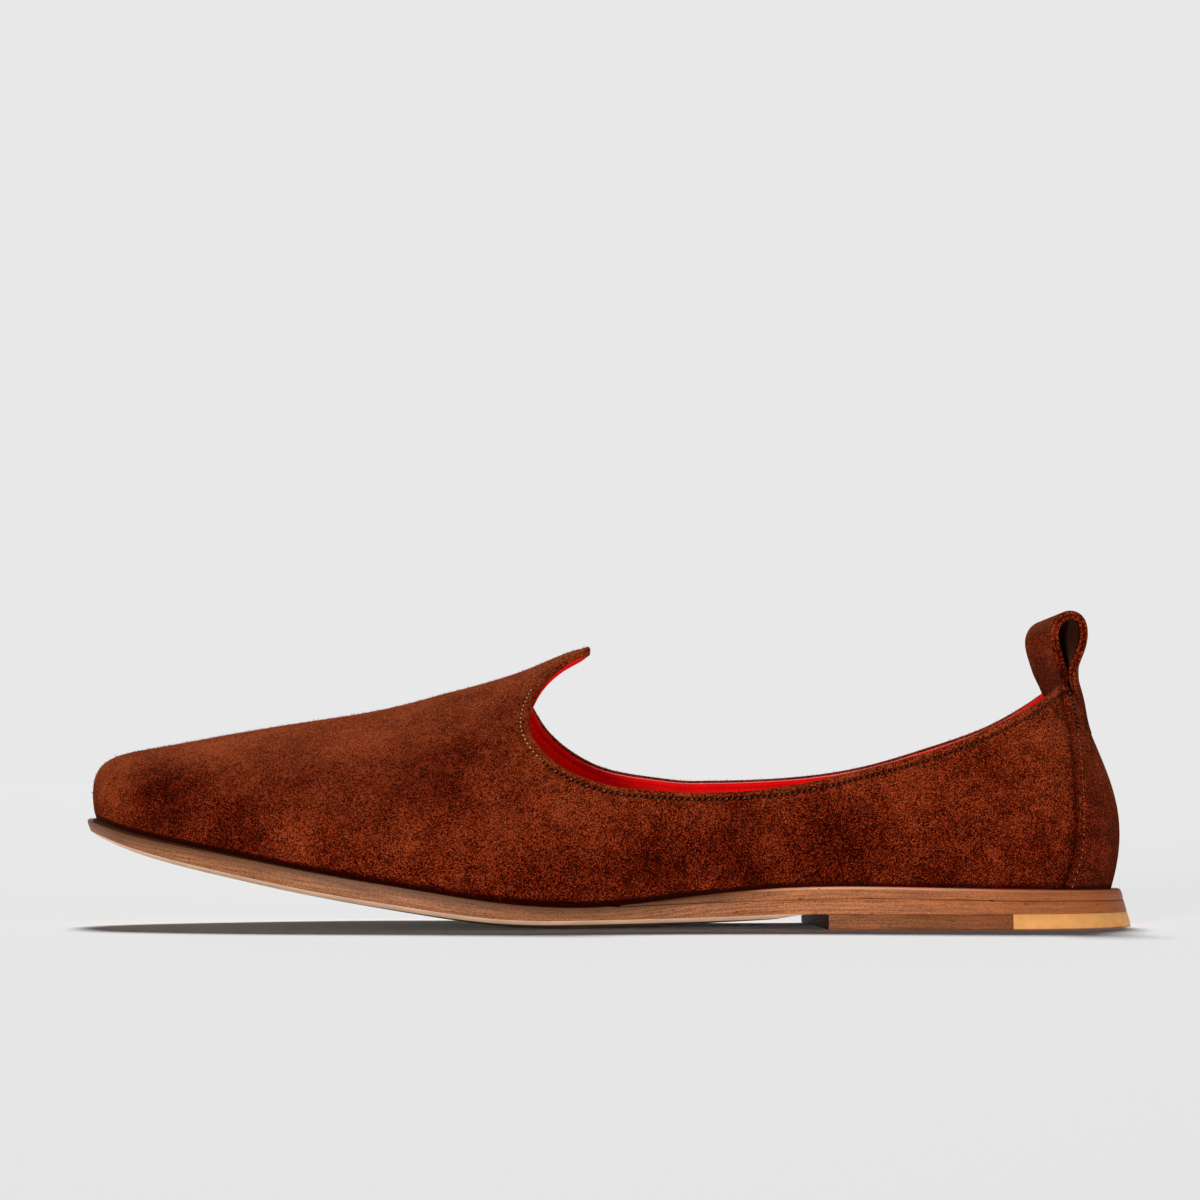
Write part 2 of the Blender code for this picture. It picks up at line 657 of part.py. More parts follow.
def main():
    for old in list(bpy.data.objects):
        bpy.data.objects.remove(old)
    collection = bpy.data.collections.new("slip_on_shoe")
    bpy.context.scene.collection.children.link(collection)
    suede = material("suede", (0.15, 0.026, 0.009), 0.95)
    leather = material("sole_leather", (0.30, 0.12, 0.05), 0.5)
    rubber = material("heel_rubber", (0.75, 0.35, 0.10), 0.6)
    lining = material("red_lining", (0.62, 0.006, 0.006), 0.5)
    make_outsole(collection, leather)
    make_heel_seat(collection, leather)
    tip_line = (TIP_FRONT, TIP_FRONT)
    heel_piece("heel_lift", (TIP_FRONT - GAP, TIP_FRONT - GAP), HEEL_BREAST, leather, collection)
    heel_piece("heel_tip", None, tip_line, rubber, collection)
    make_insole(collection, lining)
    make_upper(collection, suede)
    make_heel_strip(collection, suede)
    make_pull_loop(collection, suede)


main()
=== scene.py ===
"""The looks of a left suede slip-on shoe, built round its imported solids.

Napped suede upper with a turned collar, red leather lining, back strip and pull loop, stitch rows, a leather
sole with a burnished edge, and a heel with a rubber tip. Tables are in millimetres; +Z is up, the toe points
to -X and the outer side of the foot to -Y, as in the solids. A side is -1 (outer) or 1 (inner).
"""

import functools
import math
from types import SimpleNamespace

import bmesh
import bpy
import numpy as np
from bpy.props import FloatProperty, FloatVectorProperty, PointerProperty
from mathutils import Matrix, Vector
from mathutils.kdtree import KDTree


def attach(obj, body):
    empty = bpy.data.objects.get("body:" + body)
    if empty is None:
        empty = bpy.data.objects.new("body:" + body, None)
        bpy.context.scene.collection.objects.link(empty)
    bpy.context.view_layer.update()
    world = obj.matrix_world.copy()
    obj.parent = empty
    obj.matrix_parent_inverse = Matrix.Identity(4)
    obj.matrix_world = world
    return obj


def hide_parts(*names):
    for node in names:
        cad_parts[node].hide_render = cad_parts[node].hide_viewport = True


bl_info = {
    "name": "Suede slip-on shoe",
    "version": (1, 0, 0),
    "blender": (4, 5, 0),
    "location": "3D View > Sidebar > Shoe",
    "description": "Builds the suede, lining, stitches, sole and heel of a left slip-on shoe",
    "category": "Object",
}

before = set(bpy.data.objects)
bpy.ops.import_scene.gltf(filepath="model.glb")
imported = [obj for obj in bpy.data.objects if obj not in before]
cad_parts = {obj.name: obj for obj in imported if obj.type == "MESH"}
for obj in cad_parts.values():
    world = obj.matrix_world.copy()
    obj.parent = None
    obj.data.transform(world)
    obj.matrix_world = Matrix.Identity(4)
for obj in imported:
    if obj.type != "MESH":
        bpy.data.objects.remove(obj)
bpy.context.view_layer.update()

MM = 0.001
BODY = "root"

# Driving sizes, in millimetres.
LOOP_WIDTH = 19.0
HEEL_TOP = 4.3  # underside of the outsole over the heel
HEEL_RAMP = (47.0, 57.0)  # where the underside climbs to it
SOLE_BEVEL = 1.2  # lower edge of the forepart
HEEL_BREAST = (62.0, 57.5)  # front of the heel at the outer and the inner side
TIP_FRONT = 113.5  # front of the rubber heel tip
SEAT_FRONT = 3.0  # feather end of the heel seat layer
SEAT_LEAST = 0.25
SEAM_FOOT = -36.0  # where the line between vamp and quarter leaves the sole
LINING_FACE = 2.4  # from the outside of the wall to the lining's face
SEAT_GAP = 0.05  # between two layers that lie on each other
TAB_PITCH = 1.35  # from stitch to stitch where the loop is sewn down
ROWS_END = 129.0  # x where the collar's rows of stitches end, at the loop
PLATE_RIM = 6.0  # from the edge of a leather layer to where its face is spanned across

# One row a section of the last, from the back of the heel to the tip of the toe.
#   x, outer, inner   where the section meets the sole: its place and its two half breadths
#   foot              height of the upper's lower edge
#   ridge, top        x of the section's top, and its distance from the ridge line (0 on the vamp)
#   flare_out/in      how far the wall's first handle leans out
#   wall, crown       lengths of the lower and upper handle, as shares of height and breadth
#   drop              how far the upper handle hangs below the ridge, as a share of height
#   seat              thickness of the heel seat layer
#   margin, under     how far the sole stands out, at its top and at its lowest
#   tread, rise       height of the sole's underside at the middle, and its rise to the edge
COLUMNS = [
    *("x outer inner foot ridge top flare_out flare_in wall".split()),
    *("crown_out crown_in drop seat margin under tread rise".split()),
]
SECTIONS = np.array(
    [
        (144.4, -2, 2, 10.8, 129, 0, 10.3, 10.3, 0.38, 0.16, 0.16, 0.57, 3, 4, 7, 4.3, 0),
        (141, 11, 14.5, 10.8, 127.5, 5, 9.8, 9.8, 0.38, 0.21, 0.21, 0.56, 3, 3.8, 6.4, 4.3, 0),
        (132.6, 20.8, 23.4, 10.9, 123.5, 9, 8.8, 8.8, 0.37, 0.32, 0.32, 0.54, 3, 3.2, 5, 4.3, 0),
        (119, 27.2, 28.4, 11.1, 114, 12, 7.6, 7.8, 0.35, 0.45, 0.45, 0.50, 3.1, 2.6, 3.8, 4.3, 0),
        (100, 30, 29.8, 11.5, 98, 13, 6.6, 7.2, 0.33, 0.55, 0.55, 0.44, 3.1, 2.2, 3, 4.3, 0),
        (75, 31, 28.2, 12, 74, 12, 6, 7.5, 0.32, 0.60, 0.60, 0.38, 3.2, 1.9, 2.6, 4.3, 0),
        (48, 32.6, 24.8, 11.6, 48, 9, 5.5, 8.5, 0.32, 0.60, 0.62, 0.34, 3.3, 1.7, 1, 2.4, 0.7),
        (20, 36.8, 24.6, 9, 20, 5, 4.8, 8, 0.32, 0.56, 0.64, 0.24, 1.6, 1.7, 1, 0.9, 1.3),
        (-5, 42.2, 31.6, 6.6, -5, 0, 4.2, 6, 0.34, 0.47, 0.63, 0.08, 0, 2, 1.3, -0.2, 2),
        (-30, 46.4, 41.2, 7.9, -29.5, 0, 3.6, 4.2, 0.37, 0.46, 0.59, 0, 0, 2.4, 1.7, 0.5, 1.7),
        (-55, 46.6, 47, 11.8, -53.5, 0, 3.2, 3.4, 0.40, 0.46, 0.53, 0, 0, 2.7, 2, 4, 1.3),
        (-80, 43.2, 46.8, 16, -76.5, 0, 3, 3, 0.44, 0.49, 0.50, 0, 0, 2.8, 2.1, 8.3, 1),
        (-103, 35.9, 42, 20.4, -97, 0, 3, 3, 0.50, 0.55, 0.55, 0, 0, 2.8, 2, 13, 0.9),
        (-122, 26.2, 35.6, 24, -111.5, 0, 3, 3, 0.60, 0.62, 0.62, 0, 0, 2.8, 1.6, 17.2, 0.8),
        (-137.6, 14.4, 28.4, 27.4, -119.5, 0, 3.2, 3.2, 0.74, 0.70, 0.70, 0, 0, 2.8, 1.2, 21.5, 0.6),
        (-146, 3.6, 20.6, 30, -122.5, 0, 3.6, 3.6, 0.85, 0.76, 0.76, 0, 0, 2.8, 1, 24.7, 0.3),
        (-149.4, -9, 9, 31, -123.2, 0, 4, 4, 0.90, 0.79, 0.79, 0, 0, 2.8, 0.8, 26, 0),
    ]
)

# The ridge over the foot, x y z. It ends in the peak at PEAK_TIP and runs on, as the last does, to the heel.
RIDGE = np.array(
    [
        (-123.2, 8, 52.9), (-110, 7.6, 55.3), (-87, 6.6, 59.1), (-64, 5, 62.9), (-46, 3.6, 67.5),
        (-32, 2.7, 71.3), (-22, 2.1, 74.8), (-14, 1.7, 78.2), (-9, 1.5, 79.9), (-5, 1.4, 80.7),
        (10, 1.3, 83.5), (50, 1.3, 89.5), (100, 1.5, 95.5), (130, 1.6, 100),
    ]
)
PEAK_TIP = -5.3

# The edge of the opening, from the peak by the throat to the back: x z on the outer side, x z on the inner.
COLLAR = (
    (-7.2, 79, -7.4, 78.9), (-10.2, 77.4, -10.6, 77.2), (-13.2, 75.3, -13.8, 75.3),
    (-16.2, 72.8, -17, 73), (-18.9, 69.6, -20, 70.4), (-21, 65.6, -22.1, 68),
    (-22.3, 61.6, -22.8, 66), (-22.5, 58, -22.2, 64), (-21.3, 54.2, -20.7, 61.3),
    (-18.4, 50.3, -18.6, 58), (-13.4, 46, -13.6, 52.8), (-5.6, 42.3, -5.6, 47.6),
    (5, 39.8, 5, 44.2), (20, 38.6, 20, 42.1), (38, 38.9, 38, 42),
    (56, 41.3, 56, 43), (75, 45.7, 75, 45.9), (95, 51.4, 95, 51.7),
    (112, 58.5, 112, 57.9), (124, 65, 124, 64.8), (131, 69.4, 131, 69.4),
)
RIM_SAMPLES = 3000
CORNER = 10  # the row of COLLAR, counted from 1, where the line between vamp and quarter meets it
BACK_HEIGHT = 68.0

# The back strip's edge as seen from the side, z x.
STRIP_EDGE = ((11.8, 129.6), (20, 132.2), (30, 133.2), (44, 133.2), (56, 132.6), (66, 130.6))

# The loop's middle line above the collar, x z, from the outer leg round to the inner one.
LOOP = (
    (136.3, 69.4), (135.4, 72.3), (134.5, 76.3), (134.5, 80.4), (134.8, 84.5), (133.6, 87.5), (130.9, 88.5),
    (127.7, 87.4), (125.8, 84.1), (126.2, 79.8), (127.5, 75.6), (128.5, 72.5), (129.4, 69.6),
)
LOOP_TAB_END = 55.0  # lower end of the outer leg
LOOP_TAIL_END = 57.0  # lower end of the inner leg
LOOP_YAW = math.radians(16.5)  # turn of the loop at its top
LOOP_LEAN = math.tan(math.radians(7))  # how the inner edge sinks at the top
LOOP_LEGS = (2.3, -3.4)  # the middles of its outer and its inner leg, off the last
LEG_ROWS, LOOP_ROWS, TAIL_ROWS = 20, 110, 14  # rows of points up the outer leg, round, and down inside


# ---------------------------------------------------------------- curves


def spline(knots, values, closed=False):
    """A cubic spline through values at knots: natural at its ends, or closed on itself."""
    knots = np.asarray(knots, float)
    values = np.asarray(values, float).reshape(len(knots), -1)
    if closed:  # six more knots on each side settle the ends
        span = knots[-1] - knots[0]
        knots = np.concatenate([knots[-7:-1] - span, knots, knots[1:7] + span])
        values = np.concatenate([values[-7:-1], values, values[1:7]])
    n = len(knots)
    step = np.diff(knots)
    slope = np.diff(values, axis=0) / step[:, None]
    matrix = np.eye(n)
    right = np.zeros_like(values)
    for i in range(1, n - 1):
        matrix[i, i - 1 : i + 2] = step[i - 1], 2 * (step[i - 1] + step[i]), step[i]
        right[i] = 6 * (slope[i] - slope[i - 1])
    bend = np.linalg.solve(matrix, right)

    def value_at(t):
        t = np.atleast_1d(np.asarray(t, float))
        i = np.clip(np.searchsorted(knots, t) - 1, 0, n - 2)
        h, a, b = step[i][:, None], (knots[i + 1] - t)[:, None], (t - knots[i])[:, None]
        curved = (bend[i] * a**3 + bend[i + 1] * b**3) / (6 * h)
        return curved + (values[i] / h - bend[i] * h / 6) * a + (values[i + 1] / h - bend[i + 1] * h / 6) * b

    return value_at


def ease(low, high, value):
    """0 at low, 1 at high and smooth between; low may be the larger."""
    s = np.clip((value - low) / (high - low), 0, 1)
    return s * s * (3 - 2 * s)


def bell(offset, reach):
    return np.exp(-((offset / reach) ** 2))


def columns(*parts):
    """Rows from columns, each of them a row of numbers or one number."""
    return np.column_stack(np.broadcast_arrays(*parts))


def unit(vectors):
    return vectors / np.linalg.norm(vectors, axis=-1, keepdims=True)


def dot(a, b):
    return (a * b).sum(axis=-1)


def crowded(count, ends=0.08):
    """Shares from 0 to 1, closer together at both ends."""
    share = np.linspace(0, 1, count)
    return share - ends * np.sin(2 * math.pi * share)


def run_of(points):
    """Length along a row of points, from its first."""
    return np.concatenate([[0], np.cumsum(np.linalg.norm(np.diff(points, axis=0), axis=1))])


def picked_at(places, run, rows):
    """Rows at these places along a line whose rows lie at run."""
    return np.column_stack([np.interp(places, run, column) for column in rows.T])


# ---------------------------------------------------------------- the last


SHARED = ["foot", "ridge", "wall", *COLUMNS[11:]]  # what both sides have alike


def last_rows():
    """The sections as one closed round: heel, outer side, toe, inner side, heel."""
    column = dict(zip(COLUMNS, SECTIONS.T))
    sides = []
    for side, name, end in ((-1, "outer", "_out"), (1, "inner", "_in")):
        own = [column["x"], side * column[name], side * column["top"]]
        own += [column[key] for key in ("flare" + end, "crown" + end, *SHARED)]
        sides.append(np.column_stack(own))
    return np.concatenate([sides[0], sides[1][-2::-1]])


ROWS = last_rows()
KNOTS = run_of(ROWS[:, :2])
ROUND = spline(KNOTS, ROWS, closed=True)
RIDGE_AT = spline(RIDGE[:, 0], RIDGE[:, 1:])
TOE_T, FULL_T = KNOTS[len(SECTIONS) - 1], KNOTS[-1]
HEEL_T = {-1: 0.0, 1: FULL_T}
NAMES = ["x", "y", "top", "flare", "crown", *SHARED]


def at(t):
    """The section values at t, by name. t runs from the heel's back, by the outer side, round to it again."""
    return dict(zip(NAMES, ROUND(np.mod(t, FULL_T)).T))


def outward(t):
    """The plan direction that points out of the shoe at t."""
    t = np.asarray(t, float)
    d = unit((ROUND(np.mod(t + 0.5, FULL_T)) - ROUND(np.mod(t - 0.5, FULL_T)))[:, :2])
    return np.stack([-d[:, 1], d[:, 0]], axis=1)


def last_point(t, v):
    """A point of the last: v is 0 at the sole and 1 on the ridge."""
    t, v = np.atleast_1d(t).astype(float), np.atleast_1d(v).astype(float)[:, None]
    row = at(t)
    rx = row["ridge"]
    behind = ease(PEAK_TIP - 3, 25, rx)  # ahead of the peak's tip the two sides join smoothly on the ridge
    ridge = np.column_stack([rx, RIDGE_AT(rx)])
    ridge[:, 1] += row["top"] * behind
    slope = (RIDGE_AT(rx + 0.5) - RIDGE_AT(rx - 0.5))[:, 1]
    foot = columns(row["x"], row["y"], row["foot"])
    height = ridge[:, 2] - foot[:, 2]
    low = foot.copy()
    low[:, :2] += outward(t) * row["flare"][:, None]
    low[:, 2] += row["wall"] * height
    reach = (foot - ridge) * row["crown"][:, None]
    high = ridge + reach
    high[:, 2] = ridge[:, 2] + slope * reach[:, 0] - row["drop"] * height * behind
    w = 1 - v
    return w**3 * foot + 3 * w * w * v * low + 3 * w * v * v * high + v**3 * ridge


def last_normal(t, v):
    """The direction out of the last at a point of it."""
    e = 0.01
    v = np.clip(v, 2 * e, 1 - 2 * e)
    along = last_point(t + 0.2, v) - last_point(t - 0.2, v)
    return unit(np.cross(last_point(t, v + e) - last_point(t, v - e), along))


# A net over each side of the last, for finding a point by its place.
NET_V = np.linspace(0, 1, 161)
NET_T = {side: np.linspace(HEEL_T[side], TOE_T, 241) for side in (-1, 1)}
NET = {
    side: last_point(np.repeat(ts, len(NET_V)), np.tile(NET_V, len(ts))).reshape(len(ts), len(NET_V), 3)
    for side, ts in NET_T.items()
}


def find(side, x, z):
    """(t, v) of the point on one side at this x and height."""
    vs = np.array([np.interp(z, line[:, 2], NET_V) for line in NET[side]])
    xs = np.array([np.interp(v, NET_V, line[:, 0]) for v, line in zip(vs, NET[side])])
    order = np.argsort(xs)
    return np.interp(x, xs[order], NET_T[side][order]), np.interp(x, xs[order], vs[order])


def foot_t(side, x):
    """t where one side's lower edge is at x."""
    return np.interp(-x, -NET[side][:, 0, 0], NET_T[side])


def ridge_t(side, x):
    """t where one side's ridge is at x."""
    return np.interp(-x, -NET[side][:, -1, 0], NET_T[side])


def foot_height(x):
    return np.interp(x, SECTIONS[::-1, 0], SECTIONS[::-1, COLUMNS.index("foot")])


def edge_ring(t, stand_out, height):
    """Points of the sole's outline at t, out from the upper's foot by stand_out, at these heights."""
    row, out = at(t), outward(t).T * stand_out
    return columns(row["x"] + out[0], row["y"] + out[1], height)


def underside_height(row, share):
    """Height of the outsole's underside at a share of the half breadth; flat over the heel."""
    arched = np.maximum(row["tread"] + row["rise"] * ease(0.4, 1.1, share), 0.0)
    return arched + (HEEL_TOP - arched) * ease(*HEEL_RAMP, row["x"])


def sole_margin(row, height):
    """How far the sole stands out at this height: margin at the upper's foot, under at the lowest."""
    lowest = np.where(row["x"] > min(HEEL_BREAST), 0.0, underside_height(row, 1.0))
    share = np.clip((row["foot"] - height) / np.maximum(row["foot"] - lowest, 0.1), 0, 1)
    return row["margin"] + (row["under"] - row["margin"]) * share


def back_v(t, z):
    """v at height z near the heel's back, for t above 0 on the outer side and below 0 on the inner."""
    found = {}
    for side in (-1, 1):
        away = abs(NET_T[side][:60] - HEEL_T[side])
        found[side] = np.interp(abs(t), away, [np.interp(z, line[:, 2], NET_V) for line in NET[side][:60]])
    return np.where(t > 0, found[-1], found[1])


def back_slice(z, off, places):
    """Points off the heel's back at height z, at these distances round from its middle."""
    half = 120
    t = np.linspace(half / 2, -half / 2, 2 * half + 1)
    v = back_v(t, z)
    points = last_point(t, v) + last_normal(t, v) * off
    run = run_of(points)
    return picked_at(places, run - run[half], points)


# ---------------------------------------------------------------- nets of points


class Net:
    """A surface of points and faces, with a normal at every point."""

    def __init__(self, points, faces):
        self.points, self.faces = points, faces
        a, b, c, d = (points[faces[:, i]] for i in range(4))
        normals = np.zeros_like(points)
        for i in range(4):
            np.add.at(normals, faces[:, i], np.cross(c - a, d - b))
        self.normals = unit(normals)

    def borders(self):
        """The open borders, lowest first, as rows of point numbers, each run the way its faces do."""
        ends = np.concatenate([self.faces[:, [i, (i + 1) % 4]] for i in range(4)])
        forward = {(int(a), int(b)) for a, b in ends if a != b}
        following = {a: b for a, b in forward if (b, a) not in forward}
        loops = []
        while following:
            start, after = following.popitem()
            loop = [start]
            while after != start:
                loop.append(after)
                after = following.pop(after)
            loops.append(np.array(loop))
        return sorted(loops, key=lambda loop: self.points[loop][:, 2].mean())


def welded(points, faces, reach=0.004):
    """A net with points closer than reach made one."""
    work = bmesh.new()
    made = [work.verts.new(p) for p in points]
    for face in faces:
        work.faces.new([made[i] for i in face])
    bmesh.ops.remove_doubles(work, verts=work.verts, dist=reach)
    work.verts.index_update()
    points = np.array([v.co for v in work.verts])
    faces = np.array([[v.index for v in f.verts] for f in work.faces])
    work.free()
    return Net(points, faces)


def net_faces(rows, columns, first=0, flip=False):
    """The four-sided faces of a rows x columns net of points, row by row."""
    a = first + (np.arange(rows - 1)[:, None] * columns + np.arange(columns - 1)[None]).ravel()
    faces = np.stack([a, a + 1, a + columns + 1, a + columns], axis=1)
    return faces[:, ::-1] if flip else faces


def tube_faces(rings, size, capped=False):
    """The faces between closed rings of points, and over the first and the last ring when capped."""
    ids = np.arange(rings * size).reshape(rings, size)
    after = np.roll(ids, -1, axis=1)
    faces = np.stack([ids[:-1], after[:-1], after[1:], ids[1:]], axis=-1).reshape(-1, 4)
    return [tuple(face) for face in faces] + ([tuple(ids[0]), tuple(ids[-1])] if capped else [])


def blend(foot, top, start, end, along, up):
    """Points (t, v) between four lines of them: foot, top, first and last column."""
    a, b = along[:, None, None], up[None, :, None]
    net = (1 - b) * foot[:, None] + b * top[:, None] + (1 - a) * start[None] + a * end[None]
    return net - (1 - b) * ((1 - a) * foot[0] + a * foot[-1]) - b * ((1 - a) * top[0] + a * top[-1])


def moved_in(line, side, distance, steps=24):
    """A line of (t, v) moved over the last by this distance, away from the opening."""
    t, v = line.T.copy()
    tangent = np.gradient(last_point(t, v), axis=0)
    way = -side * np.cross(tangent, last_normal(t, v))
    for _ in range(steps):
        along = (last_point(t + 0.2, v) - last_point(t - 0.2, v)) / 0.4
        up = (last_point(t, v + 0.002) - last_point(t, v - 0.002)) / 0.004
        normal = unit(np.cross(along, up))
        way = unit(way - normal * dot(way, normal)[:, None])
        aa, ab, bb, ra, rb = dot(along, along), dot(along, up), dot(up, up), dot(way, along), dot(way, up)
        pace = 1 / (aa * bb - ab * ab) * distance / steps
        t, v = t + (ra * bb - rb * ab) * pace, v + (rb * aa - ra * ab) * pace
    return columns(t, v)


@functools.cache
def rim(side):
    """One side's edge of the opening from the peak's tip to the back: (t, v), length, place of the corner."""
    collar = [(ridge_t(side, PEAK_TIP), 1.0)]
    collar += [find(side, *(row[2:] if side > 0 else row[:2])) for row in COLLAR]
    collar.append((HEEL_T[side], np.interp(BACK_HEIGHT, NET[-1][0][:, 2], NET_V)))
    collar = np.array(collar)
    run = run_of(last_point(*collar.T))
    fine = spline(run, collar)(np.linspace(0, run[-1], RIM_SAMPLES))
    fine[:, 1] = np.minimum(fine[:, 1], 1.0)
    corner = run[CORNER] / run[-1]
    run = run_of(last_point(*fine.T))
    return fine, run, corner * run[-1]


BAND = 10.0  # width of the finer band along the opening
BAND_ROWS = np.array(
    [0, 0.2, 0.45, 0.75, 1.05, 1.35, 1.6, 1.8, 2.0, 2.2, 2.4, 2.6, 2.85, 3.15, 3.6, 4.3, 5.4, 7.2, BAND]
)
THROAT_COUNT, COLLAR_COUNT, LOW_COUNT, VAMP_COUNT = 46, 180, 24, 66
THROAT_TURN = 16.0  # along the rim, where the band leaves the ridge


@functools.cache
def band_foot(side):
    """The line BAND away from the edge of the opening, as (t, v), with the place on the rim it answers to."""
    fine, run, corner = rim(side)
    picked = np.arange(0, len(fine), 12)
    inner = moved_in(fine[picked], side, BAND)
    first = np.nonzero(inner[:, 1] > 0.998)[0][-1] + 1
    return inner[first:], run[picked][first:]


@functools.cache
def meeting_x():
    """x on the ridge where the two bands meet ahead of the peak."""
    found = []
    for side in (-1, 1):
        line = band_foot(side)[0]
        a, b = line[0], line[3]
        t = a[0] + (b[0] - a[0]) * (1.0 - a[1]) / (b[1] - a[1])
        found.append(float(last_point(t, 1.0)[0, 0]))
    return sum(found) / 2


def upper_side(side):
    """The nets of one side of the upper: band, vamp and quarter, as arrays of points."""
    fine, run, corner = rim(side)
    places = np.linspace(0, corner, THROAT_COUNT), np.linspace(corner, run[-1], COLLAR_COUNT)[1:]
    places = np.concatenate(places)
    edge = picked_at(places, run, fine)
    ridge_end, ridge_start, heel_t = NET[side][-1, -1, 0], meeting_x(), HEEL_T[side]

    foot, foot_place = band_foot(side)
    foot = np.concatenate([[(ridge_t(side, ridge_start), 1.0)], foot])
    foot[-1, 0] = heel_t
    foot_run = run_of(last_point(*foot.T))
    turn = foot_place[0] + THROAT_TURN
    at_turn = np.interp(turn, foot_place, foot_run[1:])
    foot_at = np.where(places < turn, at_turn * places / turn, np.interp(places, foot_place, foot_run[1:]))
    low_line = picked_at(foot_at, foot_run, foot)
    up = 1 - BAND_ROWS[::-1] / BAND
    tip = columns(ridge_t(side, ridge_start + (PEAK_TIP - ridge_start) * up), 1.0)
    heel = columns(heel_t, low_line[-1, 1] + (edge[-1, 1] - low_line[-1, 1]) * up)
    edge[0], edge[-1] = tip[-1], heel[-1]
    band = blend(low_line, edge, tip, heel, places / run[-1], up)

    throat = low_line[:THROAT_COUNT][::-1]
    joint, seam_t = throat[0], foot_t(side, SEAM_FOOT)
    low = np.linspace(0, 1, LOW_COUNT)
    seam = columns(seam_t + (joint[0] - seam_t) * low**1.5, joint[1] * low)
    along, up = np.linspace(0, 1, VAMP_COUNT), np.linspace(0, 1, LOW_COUNT + THROAT_COUNT - 1)
    vamp = blend(
        foot=columns(TOE_T + (seam_t - TOE_T) * along, 0.0),
        top=columns(ridge_t(side, ridge_end + (ridge_start - ridge_end) * along), 1.0),
        start=columns(TOE_T, up),
        end=np.concatenate([seam, throat[1:]]),
        along=along,
        up=up,
    )
    along = np.linspace(0, 1, COLLAR_COUNT)
    quarter_top = low_line[THROAT_COUNT - 1 :]
    quarter = blend(
        foot=columns(seam_t + (heel_t - seam_t) * along, 0.0),
        top=quarter_top,
        start=seam,
        end=columns(heel_t, quarter_top[-1, 1] * low),
        along=along,
        up=low,
    )
    return [last_point(*net.reshape(-1, 2).T).reshape(*net.shape[:2], 3) for net in (band, vamp, quarter)]


def upper_net(first_row):
    """The upper's surface as one net, its band beginning at this row from the edge of the opening."""
    outer, inner = upper_side(-1), upper_side(1)
    shared = [(net, end) for net in range(3) for end in (0, -1)]  # over the toe, the ridge and the heel
    for net, end in shared:
        if (net, end) != (1, -1):
            outer[net][end] = inner[net][end] = (outer[net][end] + inner[net][end]) / 2
    outer[1][:, -1] = inner[1][:, -1] = (outer[1][:, -1] + inner[1][:, -1]) / 2
    points, faces, count = [], [], 0
    for side, nets in ((-1, outer), (1, inner)):
        nets[2][0] = nets[1][-1, :LOW_COUNT]
        nets[0] = nets[0][:, : len(BAND_ROWS) - first_row]
        for net in nets:
            rows, columns = net.shape[:2]
            faces.append(net_faces(rows, columns, count, flip=side < 0))
            points.append(net.reshape(-1, 3))
            count += rows * columns
    return welded(np.concatenate(points), np.concatenate(faces))


# ---------------------------------------------------------------- closing nets into solids


def closed_shell(net, outer, inner, rim_profile):
    """Points and faces of the solid between two offsets of a net.

    outer and inner are offsets along the normals, one for all points or one for each. rim_profile lists
    the points (share from outer to inner, distance out over the edge) that round the highest border.
    """
    top, low = (net.points + net.normals * np.reshape(offset, (-1, 1)) for offset in (outer, inner))
    count = len(net.points)
    points = [top, low]
    faces = [net.faces, net.faces[:, ::-1] + count]
    total = 2 * count
    for loop, profile in zip(net.borders(), ((), rim_profile)):
        tangent = unit(np.roll(net.points[loop], -1, axis=0) - np.roll(net.points[loop], 1, axis=0))
        out = np.cross(tangent, net.normals[loop])
        rings = [loop]
        for share, reach in profile:
            points.append(top[loop] * (1 - share) + low[loop] * share + out * reach)
            rings.append(total + np.arange(len(loop)))
            total += len(loop)
        rings.append(loop + count)
        for one, two in zip(rings, rings[1:]):
            faces.append(np.stack([np.roll(one, -1), one, two, np.roll(two, -1)], axis=1))
    return np.concatenate(points), np.concatenate(faces)


def belongs(piece, node, slot):
    """Hands a finished piece to the frame in place of this node."""
    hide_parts(node)
    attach(piece, BODY)


def add_mesh(name, points, edges, faces, **vectors):
    """An object in the scene from points in millimetres, with named values at its points."""
    mesh = bpy.data.meshes.new(name)
    mesh.from_pydata((np.asarray(points) * MM).tolist(), edges, [tuple(int(i) for i in f) for f in faces])
    for key, values in vectors.items():
        values = np.asarray(values, dtype=np.float32)
        kind, field = ("FLOAT", "value") if values.ndim == 1 else ("FLOAT_VECTOR", "vector")
        mesh.attributes.new(key, kind, "POINT").data.foreach_set(field, values.ravel())
    made = bpy.data.objects.new(name, mesh)
    bpy.context.scene.collection.objects.link(made)
    return made


def add_piece(name, node, slot, points, faces, *materials, slots=None, angle=40, **values):
    """A smooth-shaded closed piece that stands for a node; its faces may be of any size."""
    made = add_mesh(name, points, [], faces, **values)
    mesh = made.data
    for material in materials:
        mesh.materials.append(material)
    if slots is not None:
        mesh.polygons.foreach_set("material_index", np.asarray(slots, dtype=np.int32))
    work = bmesh.new()
    work.from_mesh(mesh)
    bmesh.ops.remove_doubles(work, verts=work.verts, dist=0.000002)
    bmesh.ops.dissolve_degenerate(work, edges=work.edges, dist=0.000001)
    bmesh.ops.recalc_face_normals(work, faces=work.faces)
    open_edges = sum(not e.is_manifold for e in work.edges)
    work.to_mesh(mesh)
    work.free()
    if open_edges:
        raise RuntimeError(f"{name} has {open_edges} open edges")
    mesh.shade_smooth()
    mesh.set_sharp_from_angle(angle=math.radians(angle))
    belongs(made, node, slot)
    return made


# ---------------------------------------------------------------- settings


def length(name, about, size, least):
    """A length for the sidebar, given here in millimetres."""
    return FloatProperty(name=name, description=about, default=size * MM, min=least * MM, unit="LENGTH")


def colour(name, about, *value):
    return FloatVectorProperty(name=name, description=about, subtype="COLOR", default=value, min=0, max=1)


